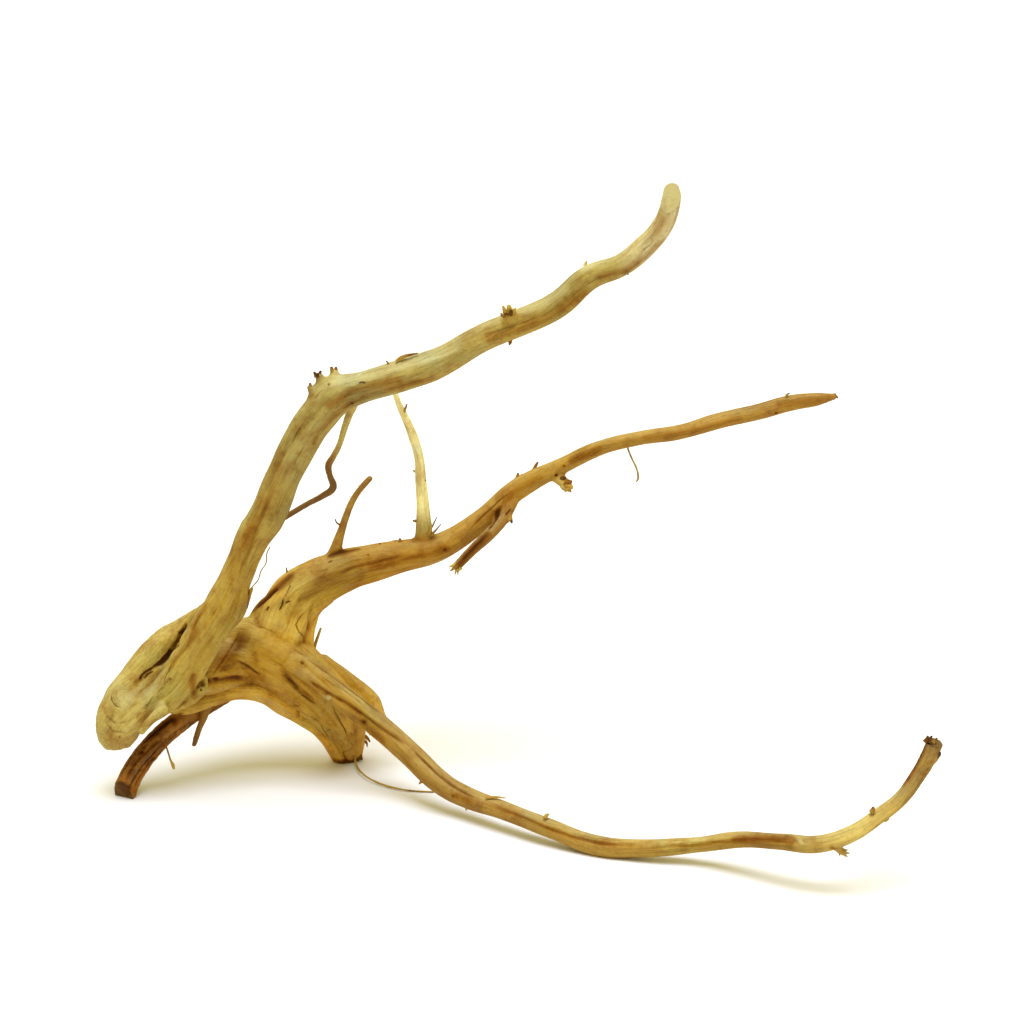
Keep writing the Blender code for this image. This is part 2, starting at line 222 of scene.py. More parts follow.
LIMBS: dict[str, Limb] = {
    "upper_limb": Limb(
        UPPER_LIMB,
        Flow.REACHING,
        (
            Shade(0, (0.45, 0.345, 0.10)), Shade(30, (0.46, 0.32, 0.058)), Shade(90, (0.42, 0.265, 0.036)),
            Shade(140, (0.37, 0.255, 0.050)), Shade(175, (0.36, 0.27, 0.078)),
            Shade(225, (0.37, 0.29, 0.085)),
            Shade(300, (0.42, 0.31, 0.072)), Shade(345, (0.36, 0.25, 0.048)), Shade(376, (0.42, 0.32, 0.09)),
            # Near the tip the shades are paler, partly as painted light against the shade where the limb
            # faces down and forward.
            Shade(392, (0.70, 0.60, 0.32)), Shade(408, (0.61, 0.52, 0.27)), Shade(440, (0.68, 0.60, 0.34)),
        ),
        painted_top_light_and_bleach=0.65,
    ),
    "lower_limb": Limb(
        LOWER_LIMB,
        Flow.REACHING,
        (
            Shade(0, (0.44, 0.25, 0.028)), Shade(60, (0.40, 0.22, 0.026)), Shade(110, (0.31, 0.16, 0.020)),
            Shade(150, (0.37, 0.20, 0.030)), Shade(200, (0.40, 0.23, 0.034)), Shade(250, (0.50, 0.32, 0.048)),
            Shade(292, (0.24, 0.12, 0.014)), Shade(318, (0.42, 0.27, 0.055)), Shade(342, (0.62, 0.46, 0.13)),
            Shade(362, (0.42, 0.26, 0.05)), Shade(385, (0.28, 0.15, 0.04)), Shade(400, (0.26, 0.15, 0.035)),
        ),
        painted_top_light_and_bleach=0.3,
    ),
    "lobe_lip": Limb(LOBE_LIP, Flow.REACHING, painted_top_light_and_bleach=0.3, guide="upper_limb"),
    "lobe_cheek": Limb(LOBE_CHEEK, Flow.REACHING, painted_top_light_and_bleach=0.35, guide="upper_limb"),
    "lobe_saddle": Limb(LOBE_SADDLE, Flow.REACHING, painted_top_light_and_bleach=0.4, guide="upper_limb"),
    "lobe_chin": Limb(LOBE_CHIN, Flow.REACHING, guide="upper_limb"),
    "limb_heel": Limb(LIMB_HEEL, Flow.REACHING, guide="upper_limb"),
    "limb_flare": Limb(LIMB_FLARE, Flow.REACHING, guide="upper_limb"),
    "elbow_crest": Limb(ELBOW_CREST, Flow.REACHING, painted_top_light_and_bleach=0.5, guide="upper_limb"),
    "shoulder": Limb(SHOULDER, Flow.TRUNK, guide="trunk"),
    "trunk": Limb(
        TRUNK,
        Flow.TRUNK,
        (
            # The lowest shades, towards the foot, are paler as painted light from the floor below.
            Shade(0, (0.44, 0.24, 0.024)), Shade(40, (0.44, 0.24, 0.024)), Shade(90, (0.52, 0.29, 0.030)),
            Shade(120, (0.70, 0.30, 0.028)),
        ),
        painted_top_light_and_bleach=0.15,
    ),
    "back_web": Limb(BACK_WEB, Flow.TRUNK, guide="trunk"),
    "trunk_front": Limb(TRUNK_FRONT, Flow.TRUNK, guide="trunk"),
    "trunk_lip": Limb(
        TRUNK_LIP,
        Flow.TRUNK,
        (
            # The lowest shades, towards the table, are paler as painted light from the floor below.
            Shade(0, (0.47, 0.31, 0.045)), Shade(30, (0.50, 0.30, 0.036)), Shade(100, (0.70, 0.40, 0.042)),
            Shade(140, (0.70, 0.30, 0.028)),
        ),
        painted_top_light_and_bleach=0.2,
    ),
    "trunk_knuckle": Limb(TRUNK_KNUCKLE, Flow.TRUNK, guide="trunk"),
    "middle_limb": Limb(
        MIDDLE_LIMB,
        Flow.BACK,
        (
            Shade(0, (0.72, 0.45, 0.064)), Shade(26, (0.60, 0.35, 0.044)), Shade(50, (0.41, 0.21, 0.018)),
            Shade(120, (0.39, 0.195, 0.016)), Shade(200, (0.41, 0.225, 0.022)),
            Shade(280, (0.35, 0.17, 0.014)),
            Shade(340, (0.33, 0.155, 0.012)),
        ),
        painted_top_light_and_bleach=0.2,
    ),
    "middle_brace": Limb(MIDDLE_BRACE, Flow.BACK, painted_top_light_and_bleach=0.1, guide="middle_limb"),
    "middle_web": Limb(MIDDLE_WEB, Flow.BACK, painted_top_light_and_bleach=0.1, guide="middle_limb"),
    "left_root": Limb(
        LEFT_ROOT,
        Flow.BACK,
        (
            Shade(16, (0.36, 0.17, 0.016)), Shade(38, (0.28, 0.10, 0.007)), Shade(56, (0.30, 0.10, 0.005)),
            Shade(96, (0.24, 0.075, 0.004)),
        ),
        painted_top_light_and_bleach=0.0,
        bark=1.0,
    ),
    "branchlet": Limb(
        (
            (-51, 84, 118, 6), (-51, 83, 127, 4.4), (-51.2, 82, 136, 3.7), (-51.4, 81, 143, 3.3),
            (-52.2, 79, 158, 3.1), (-52.8, 76, 171, 2.7), (-55.6, 73, 183, 2.6), (-58.8, 70, 192.6, 2.2),
            (-62.8, 67, 203, 1.6),
            (-67, 61, 220, 1.1),
        ),
        Flow.TRUNK,
        (Shade(6, ORANGE), Shade(12, OLIVE), Shade(26, (0.92, 0.82, 0.38)), Shade(110, (0.88, 0.77, 0.36))),
        painted_top_light_and_bleach=0.5,
    ),
    "crooked_twig": Limb(
        (
            (-83.4, 24, 218, 3.2), (-85, 32, 211, 2.3), (-86.8, 38, 205.6, 1.9), (-90, 41, 196, 1.7),
            (-92.4, 43, 188, 1.5), (-95.8, 45, 181, 1.7), (-98.6, 46, 175.6, 2), (-98, 47, 170, 1.7),
            (-96.6, 49, 163, 2.1), (-102, 51, 158, 1.8), (-110, 53, 153, 1.6), (-119, 55, 147, 1.6),
            (-129, 57, 140, 1.4),
        ),
        Flow.TRUNK,
        (Shade(0, YELLOW), Shade(36, YELLOW), Shade(50, RUST), Shade(62, BROWN), Shade(100, BROWN)),
        painted_top_light_and_bleach=0.1,
    ),
    "thumb_twig": Limb(
        (
            (-100, 76, 112, 5), (-97.4, 74, 121, 3.3), (-94, 73, 132, 2.3), (-91.8, 72, 139, 2),
            (-88.4, 71, 147.8, 1.8), (-84.6, 69, 154.6, 1.6), (-78.6, 66, 162.4, 1.6),
            (-77.4, 66, 163.8, 1.2),
        ),
        Flow.TRUNK,
        (Shade(6, ORANGE), Shade(40, ORANGE), Shade(64, RUST)),
        painted_top_light_and_bleach=0.2,
    ),
    "split_strip": Limb(
        (
            (-2, 86, 149, 3.8), (-9, 79, 136.4, 3.6), (-15.8, 74, 129.2, 3.3), (-24, 71, 122.3, 2.9),
            (-34.6, 68, 111.8, 2.4),
        ),
        Flow.TRUNK,
        (Shade(0, ORANGE), Shade(14, RUST), Shade(34, (0.24, 0.12, 0.017)), Shade(60, (0.24, 0.12, 0.017))),
        painted_top_light_and_bleach=0.5,
    ),
    "short_stub": Limb(
        ((17, 89, 161, 3.6), (20, 87, 157, 3.2), (24, 85, 154, 3), (26.4, 84, 150.6, 2.7)),
        Flow.TRUNK,
        (Shade(0, TAN), Shade(16, YELLOW)),
    ),
    "trunk_spur": Limb(
        (
            (-160, 52, 52, 5), (-166, 49, 41, 2.6), (-167, 47, 37, 2.1), (-170, 46, 30, 1.7),
            (-171.4, 44, 26, 1.7),
            (-173, 42, 21, 1.3),
        ),
        Flow.BACK,
        (Shade(0, RUST), Shade(20, RUST), Shade(36, BROWN)),
        painted_top_light_and_bleach=0.0,
    ),
    "elbow_thorn": Limb(
        ((-101, 21, 219, 3.6), (-104.6, 20, 223, 1.9), (-106, 20, 226, 0.9)),
        Flow.BACK,
        (Shade(0, OLIVE), Shade(9, BROWN)),
    ),
    "elbow_knob_left": Limb(
        ((-97, 22, 222, 4), (-100, 22, 228, 2.3), (-101, 22, 231.4, 2)),
        Flow.BACK,
        (Shade(0, OLIVE), Shade(6, OLIVE), Shade(10, BROWN)),
    ),
    "elbow_knob_right": Limb(
        ((-92, 23, 222, 4), (-93, 24, 229.4, 2.5), (-93, 24, 233, 2)),
        Flow.BACK,
        (Shade(0, PALE), Shade(8, PALE), Shade(12, TAN)),
    ),
    "limb_knot": Limb(
        ((-3, 10, 261, 5), (-4.6, 7, 264.8, 3.8), (-4.8, 5, 267.2, 2.9)),
        Flow.BACK,
        (Shade(0, OCHRE), Shade(8, TAN)),
    ),
    "broken_nub": Limb(
        ((-11, 82, 142, 3.5), (-7, 79, 138, 2.2), (-4.4, 78, 135.6, 1.6)), Flow.TRUNK, (Shade(0, TAN),)
    ),
    "low_stub": Limb(
        ((150, -88, 27, 3.5), (155.4, -89, 22, 2), (158.4, -89, 19.4, 1.5)), Flow.BACK, (Shade(0, OCHRE),)
    ),
    "tip_stub": Limb(
        ((196.6, -75, 61, 3), (200.4, -75.4, 63.4, 2.1), (202.8, -75.6, 66, 1.5)),
        Flow.BACK,
        (Shade(0, OCHRE), Shade(5, OCHRE), Shade(9, BROWN)),
    ),
    "border_bump": Limb(
        ((-140, 24, 145, 1.5), (-141, 24, 150, 1.9), (-140, 24, 154, 1)), Flow.BACK, (Shade(0, OLIVE),)
    ),
}


@dataclass(frozen=True)
class Hollow:
    """A cleft or hole, cut where the photograph shows it.

    Attributes:
        pixels: The pixels that it runs through, with its radius in millimetres at each.
        sunk: How far below the surface its middle lies, in millimetres.
    """

    pixels: tuple[tuple[float, float, float], ...]
    sunk: float


HOLLOWS: dict[str, Hollow] = {
    "lobe_slit": Hollow(
        (
            (188, 619, 0.8), (185, 627, 1.2), (182, 636, 1.6), (177, 644, 1.8), (171, 652, 1.7),
            (162, 661, 1.4),
            (152, 668, 1.0), (143, 674, 0.7),
        ),
        0.6,
    ),
    "lip_hollow": Hollow(
        ((197, 689, 1.2), (202, 684, 2.2), (208, 681, 1.9), (216, 679, 1.0), (226, 678, 0.6)), 0.5,
    ),
    "trunk_slot": Hollow(((284, 674, 0.7), (289, 680, 1.1), (295, 687, 1.1), (301, 694, 0.7)), 0.2),
    "worm_hole": Hollow(((298, 711, 1.0), (298, 717, 1.1)), 1.0),
    "root_pocket": Hollow(((256, 608, 1.0), (262, 602, 1.5), (270, 595, 1.5), (279, 588, 0.9)), 0.0),
}


@dataclass(frozen=True)
class SawnEnd:
    """Where a limb was sawn off.

    Attributes:
        point: A point on the cut, in millimetres.
        facing: The way that the cut face looks.
        reach: How far round the point the saw may cut, in millimetres.
        colour: The colour of the cut face.
    """

    point: tuple[float, float, float]
    facing: tuple[float, float, float]
    reach: float
    colour: Colour


SAWN_ENDS: tuple[SawnEnd, ...] = (
    SawnEnd((71.6, -12.2, 326), (-0.1, -0.95, 0.30), 20, (0.54, 0.455, 0.22)),
    SawnEnd((201.6, -71.7, 71.6), (0.22, -0.16, 0.96), 16, (0.075, 0.03, 0.006)),
    SawnEnd((-208.2, 22.4, 3.6), (-0.45, -0.85, -0.28), 14, (0.10, 0.038, 0.006)),
)


def set_out(point: Iterable[float]) -> Vector:
    """A point of the tables, in metres in the frame.

    Args:
        point: x, y and z in millimetres, and perhaps a radius, which is left out.

    Returns:
        The same point in metres from the frame's origin.
    """
    return (Vector(tuple(point)[:3]) + SET_OUT) * MM


def linked(name: str, data: bpy.types.ID) -> bpy.types.Object:
    """A new object for this mesh, curve, light or camera, in the scene."""
    made = bpy.data.objects.new(name, data)
    bpy.context.scene.collection.objects.link(made)
    return made


def mesh_of(obj: bpy.types.Object) -> bpy.types.Mesh:
    """The mesh that the object has once its modifiers, or its curve, are worked out."""
    graph = bpy.context.evaluated_depsgraph_get()
    return bpy.data.meshes.new_from_object(obj.evaluated_get(graph))


def settle(obj: bpy.types.Object) -> None:
    """Gives the object the mesh that its modifiers make, and takes them off."""
    made = mesh_of(obj)
    obj.modifiers.clear()
    obj.data = made


def places(mesh: bpy.types.Mesh) -> np.ndarray:
    """The mesh's points as rows of x, y and z."""
    flat = np.empty(len(mesh.vertices) * 3, np.float32)
    mesh.vertices.foreach_get("co", flat)
    return flat.reshape(-1, 3).astype(float)


def normals(mesh: bpy.types.Mesh) -> np.ndarray:
    """The way the surface faces at each point."""
    flat = np.empty(len(mesh.vertices) * 3, np.float32)
    mesh.vertices.foreach_get("normal", flat)
    return flat.reshape(-1, 3).astype(float)


def move_to(mesh: bpy.types.Mesh, points: np.ndarray) -> None:
    """Puts the mesh's points where these rows say."""
    mesh.vertices.foreach_set("co", points.astype(np.float32).ravel())
    mesh.update()


def neighbours(mesh: bpy.types.Mesh) -> np.ndarray:
    """The two ends of each edge, as rows."""
    ends = np.empty(len(mesh.edges) * 2, np.int32)
    mesh.edges.foreach_get("vertices", ends)
    return ends.reshape(-1, 2)


def triangles(mesh: bpy.types.Mesh) -> int:
    """How many triangles the mesh's faces make."""
    return sum(len(face.vertices) - 2 for face in mesh.polygons)


def evened(values: np.ndarray, ends: np.ndarray, passes: int, share: float = 0.5) -> np.ndarray:
    """Each point's value drawn towards the mean of its neighbours'.

    Args:
        values: One row for each point.
        ends: The edges, from neighbours().
        passes: How many times it is done.
        share: How far each pass goes towards the mean.

    Returns:
        The evened values.
    """
    count = len(values)
    degree = np.bincount(ends.ravel(), minlength=count)[:, None].clip(1)
    for _ in range(passes):
        total = np.stack(
            [
                np.bincount(ends[:, 0], values[ends[:, 1], k], count)
                + np.bincount(ends[:, 1], values[ends[:, 0], k], count)
                for k in range(values.shape[1])
            ],
            1,
        )
        values = values + share * (total / degree - values)
    return values


def noise_at(points: np.ndarray, grain: Sequence[float], seed: float = 0.0) -> np.ndarray:
    """Smooth noise from -1 to 1.

    Args:
        points: Rows of three coordinates in metres.
        grain: The size of its features along each coordinate, in millimetres.
        seed: Moves the pattern.

    Returns:
        One value for each row.
    """
    scaled = points / (np.array(grain) * MM) + seed
    return np.array([noise.noise(row) for row in scaled])


@dataclass(frozen=True)
class Ripple:
    """Low waves in a surface.

    Attributes:
        height: Their height in millimetres.
        size: Their size along, across and over the wood, in millimetres.
        seed: Moves the pattern.
    """

    height: float
    size: tuple[float, float, float]
    seed: float

    def at(self, points: np.ndarray) -> np.ndarray:
        """The waves at these points, from -1 to 1."""
        return noise_at(points, self.size, self.seed)


def near_tree(points: np.ndarray) -> kdtree.KDTree:
    """A tree of the points, to find the nearest of them."""
    tree = kdtree.KDTree(len(points))
    for index, point in enumerate(points):
        tree.insert(point, index)
    tree.balance()
    return tree


def eased(values: np.ndarray, low: float, high: float) -> np.ndarray:
    """A smooth step from 0 at low to 1 at high."""
    share = np.clip((values - low) / (high - low), 0, 1)
    return share * share * (3 - 2 * share)


def mingled(low: np.ndarray, high: Colour, share: np.ndarray) -> np.ndarray:
    """Rows of colour drawn towards one other colour by each point's share."""
    return low + (np.array(high) - low) * share[:, None]


@dataclass(frozen=True)
class Viewpoint:
    """Where the photograph was taken from, so that a pixel of it can be followed to the wood.

    Attributes:
        eye: The camera's place, in metres.
        target: The point that the middle of the picture shows.
        lens: Its focal length in millimetres.
        sensor: Its sensor's width in millimetres.
        pixels: The picture's width and height in pixels.
    """

    eye: Vector = Vector((0.0041, -1.3361, 0.5982))
    target: Vector = Vector((0.0041, -0.0046, 0.1656))
    lens: float = 98.4
    sensor: float = 36.0
    pixels: int = 1024

    def turn(self) -> Matrix:
        """How the camera is turned."""
        return (self.target - self.eye).to_track_quat("-Z", "Y").to_matrix()

    def sight(self, x: float, y: float) -> Vector:
        """The way from the eye through a pixel of the photograph."""
        half = self.pixels / 2
        reach = self.lens / self.sensor * self.pixels
        return (self.turn() @ Vector(((x - half) / reach, (half - y) / reach, -1))).normalized()

    def at_depth(self, x: float, y: float, depth: float) -> Vector:
        """The point behind a pixel that lies at this depth.

        Args:
            x: The pixel's column.
            y: The pixel's row.
            depth: Its Y in the routes' own millimetres.

        Returns:
            The point in the routes' own millimetres.
        """
        way = self.sight(x, y)
        run = ((depth + SET_OUT.y) * MM - self.eye.y) / way.y
        return (self.eye + way * run) / MM - SET_OUT

    def place_camera(self) -> None:
        """Makes the scene's camera at this viewpoint."""
        data = bpy.data.cameras.new("camera")
        data.lens = self.lens
        data.sensor_width = self.sensor
        camera = linked("camera", data)
        camera.location = self.eye
        camera.rotation_euler = self.turn().to_euler()
        bpy.context.scene.camera = camera


VIEW = Viewpoint()


def bezier(name: str, route: Route, steps: int, twist: float = 0.0, gain: float = 0.0) -> bpy.types.Curve:
    """A smooth curve through the route's points.

    Args:
        name: The curve's name.
        route: Points and radii in millimetres.
        steps: Samples from one point to the next.
        twist: How far it turns about itself, in radians a millimetre.
        gain: Added to each radius, in millimetres.

    Returns:
        The curve.
    """
    curve = bpy.data.curves.new(name, "CURVE")
    curve.dimensions = "3D"
    curve.resolution_u = steps
    spline = curve.splines.new("BEZIER")
    spline.bezier_points.add(len(route) - 1)
    run = 0.0
    last = Vector(route[0][:3])
    for point, row in zip(spline.bezier_points, route):
        here = Vector(row[:3])
        run += (here - last).length
        last = here
        point.co = set_out(here)
        point.handle_left_type = point.handle_right_type = "AUTO"
        point.radius = row[3] + gain
        point.tilt = run * twist
    return curve


@dataclass
class HeartLine:
    """The line along the heart of a limb, with a frame carried along it, so that the limb can be unbent.

    Attributes:
        route: The limb's route.
        steps: Samples from one route point to the next.
        points: The samples, in metres.
        radii: The limb's radius at each sample.
        runs: How far along the limb each sample lies.
        forward: The way that the limb runs at each sample.
        side: A way across the limb that is carried along it without spinning.
        tree: The samples, to find the nearest.
    """

    route: Route
    steps: int = 24
    points: np.ndarray = field(init=False)
    radii: np.ndarray = field(init=False)
    runs: np.ndarray = field(init=False)
    forward: np.ndarray = field(init=False)
    side: np.ndarray = field(init=False)
    tree: kdtree.KDTree = field(init=False)

    def __post_init__(self) -> None:
        """Samples the route and carries a frame along it without letting it spin."""
        guide = linked("heart", bezier("heart", self.route, self.steps))
        self.points = places(mesh_of(guide))
        bpy.data.objects.remove(guide)
        share = np.arange(len(self.points)) / self.steps
        self.radii = np.interp(share, range(len(self.route)), [row[3] * MM for row in self.route])
        leaps = np.diff(self.points, axis=0)
        self.runs = np.concatenate([[0], np.cumsum(np.linalg.norm(leaps, axis=1))])
        ways = np.vstack([leaps[:1], leaps[:-1] + leaps[1:], leaps[-1:]])
        self.forward = ways / np.linalg.norm(ways, axis=1)[:, None]
        side = np.array(Vector(self.forward[0]).orthogonal().normalized())
        sides = []
        for way in self.forward:
            side = side - way * (side @ way)
            side = side / np.linalg.norm(side)
            sides.append(side)
        self.side = np.array(sides)
        self.tree = near_tree(self.points)

    def close_by(self, points: np.ndarray, margin: float = 9 * MM) -> np.ndarray:
        """Which of these points lie within the limb's own box and a margin round it."""
        spread = self.radii.max() + margin
        above = (points > self.points.min(0) - spread).all(1)
        return np.flatnonzero(above & (points < self.points.max(0) + spread).all(1))

    def nearest(self, points: np.ndarray) -> np.ndarray:
        """The sample nearest to each of these points."""
        find = self.tree.find
        return np.array([find(point)[1] for point in points], int)

    def unbent(self, points: np.ndarray, near: np.ndarray) -> np.ndarray:
        """Where each point would be if the limb were straight: along it, and across it twice.

        Args:
            points: Rows of x, y and z.
            near: From nearest().

        Returns:
            Rows of three lengths in metres.
        """
        out = points - self.points[near]
        forward = self.forward[near]
        side = self.side[near]
        along = (out * forward).sum(1)
        across = (out * side).sum(1)
        over = (out * np.cross(forward, side)).sum(1)
        return np.stack([self.runs[near] + along, across, over], 1)

    def clearance(self, points: np.ndarray, near: np.ndarray) -> np.ndarray:
        """How far each point is outside this limb, in metres."""
        return np.linalg.norm(points - self.points[near], axis=1) - self.radii[near]

    def on_bark(self, along: float, turn: float) -> Vector:
        """A point on the limb's surface.

        Args:
            along: Millimetres from the route's start.
            turn: Degrees round it, with 0 on top and 90 to the front.

        Returns:
            The point in metres.
        """
        index = int(np.searchsorted(self.runs, along * MM).clip(0, len(self.runs) - 1))
        forward = Vector(self.forward[index])
        up = (Vector((0, 0, 1)) - forward * forward.z).normalized()
        front = up.cross(forward).normalized()
        if front.y > 0:
            front.negate()
        angle = math.radians(turn)
        out = up * math.cos(angle) + front * math.sin(angle)
        return Vector(self.points[index]) + out * float(self.radii[index])


@dataclass(frozen=True)
class Fluting:
    """The cross-section of weathered wood: round, with low ridges that run along it.

    Attributes:
        ridges: How many go round, their height and their turn, on a limb of radius 1.
        base: The mean radius.
        sides: Points round the section.
        twist: How far the ridges turn, in radians a millimetre.
    """

    ridges: tuple[tuple[int, float, float], ...]
    base: float = 0.94
    sides: int = 48
    twist: float = 0.012

    def profile(self) -> bpy.types.Object:
        """The section as a closed curve 1 mm in radius."""
        curve = bpy.data.curves.new("section", "CURVE")
        spline = curve.splines.new("POLY")
        spline.points.add(self.sides - 1)
        spline.use_cyclic_u = True
        for index, point in enumerate(spline.points):
            angle = math.tau * index / self.sides
            waves = (high * math.cos(count * angle + turn) for count, high, turn in self.ridges)
            radius = self.base + sum(waves)
            point.co = (radius * math.cos(angle) * MM, radius * math.sin(angle) * MM, 0, 1)
        return linked("section", curve)

    def tube(self, name: str, route: Route, steps: int, gain: float = 0.0) -> bpy.types.Object:
        """A closed mesh tube of this section along a route.

        Args:
            name: The object's name.
            route: Points and radii in millimetres.
            steps: Sections from one route point to the next.
            gain: Added to each radius, in millimetres.

        Returns:
            The tube as a mesh object at the origin.
        """
        section = self.profile()
        curve = bezier(name, route, steps, self.twist, gain)
        curve.use_fill_caps = True
        curve.bevel_mode = "OBJECT"
        curve.bevel_object = section
        guide = linked(name, curve)
        mesh = mesh_of(guide)
        bpy.data.objects.remove(guide)
        bpy.data.objects.remove(section)
        close_seams(mesh)
        return linked(name, mesh)


LIMB_SECTION = Fluting(((2, 0.05, 0.4), (3, 0.05, 1.9), (5, 0.03, 0.7), (9, 0.014, 2.2), (14, 0.01, 0.3)))
TWIG_SECTION = Fluting(((2, 0.05, 0.3), (3, 0.04, 1.1), (7, 0.02, 0.5)), base=0.98, sides=20, twist=0.03)
HOLLOW_SECTION = Fluting(((3, 0.08, 0.2),), base=1.0, sides=12, twist=0.03)
THORN_SECTION = Fluting(((2, 0.08, 0.3), (3, 0.08, 1.1)), base=1.0, sides=9, twist=0.05)


def close_seams(mesh: bpy.types.Mesh, within: float = 1e-6) -> None:
    """Welds a tube's caps to its sides and turns its faces outwards."""
    body = bmesh.new()
    body.from_mesh(mesh)
    bmesh.ops.remove_doubles(body, verts=body.verts, dist=within)
    bmesh.ops.recalc_face_normals(body, faces=body.faces)
    body.to_mesh(mesh)
    body.free()


def joined(name: str, objects: Sequence[bpy.types.Object]) -> bpy.types.Object:
    """One object with the meshes of all these, which are then removed."""
    together = bmesh.new()
    for obj in objects:
        together.from_mesh(obj.data)
        bpy.data.objects.remove(obj)
    mesh = bpy.data.meshes.new(name)
    together.to_mesh(mesh)
    together.free()
    return linked(name, mesh)


def tree_of(mesh: bpy.types.Mesh) -> BVHTree:
    """A tree of the mesh's faces, to find where a line of sight meets it."""
    faces = [tuple(face.vertices) for face in mesh.polygons]
    return BVHTree.FromPolygons([tuple(row) for row in places(mesh)], faces)


class Stroke(Enum):
    """What a mark does to the surface, across its width."""

    CRACK = "crack"
    GROOVE = "groove"
    RIDGE = "ridge"
    STAIN = "stain"
    KNOT = "knot"
    BARK = "bark"

    def depth(self, out: np.ndarray) -> np.ndarray:
        """How far the surface sinks, as a share of the mark's depth.

        Args:
            out: Distance from the mark's line, as a share of its half width, from 0 to 1.

        Returns:
            The share for each distance, below 0 where the surface rises.
        """
        if self is Stroke.CRACK:
            return CRACK_DEPTH * (1 - out)
        if self is Stroke.GROOVE:
            return np.cos(out * math.pi / 2) ** 2
        if self in (Stroke.RIDGE, Stroke.BARK):
            return -(np.cos(out * math.pi / 2) ** 2)
        if self is Stroke.KNOT:
            rim = np.exp(-(((out - KNOT_RIM) / KNOT_RIM_WIDTH) ** 2))
            return np.exp(-((out / KNOT_DIMPLE) ** 2)) - rim
        return np.zeros_like(out)


@dataclass(frozen=True)
class Mark:
    """A crack, groove, ridge, knot or stain on the wood.

    Attributes:
        stroke: What it does to the surface.
        pixels: The pixels of the photograph that it runs through.
        width: Half its width in millimetres.
        depth: How deep or high it is, in millimetres.
        dark: How far it darkens the wood, as a stain or, on a few marks, as painted shade, or bleaches it
            below 0.
        rust: How far it reddens the wood.
    """

    stroke: Stroke
    pixels: Pixels
    width: float
    depth: float
    dark: float
    rust: float = 0.0


# Marks of one stroke. They take the pixels, the half width, the depth, how dark it is and how red.
crack_at = partial(Mark, Stroke.CRACK)
groove_at = partial(Mark, Stroke.GROOVE)
ridge_at = partial(Mark, Stroke.RIDGE)


def stain_at(pixels: Pixels, width: float, dark: float, rust: float = 0.0) -> Mark:
    """A stain, which leaves the surface as it is."""
    return Mark(Stroke.STAIN, pixels, width, 0, dark, rust)


def knot_at(x: float, y: float, width: float, depth: float, dark: float, rust: float = 0.0) -> Mark:
    """A knot round one pixel."""
    return Mark(Stroke.KNOT, ((x, y), (x, y)), width, depth, dark, rust)


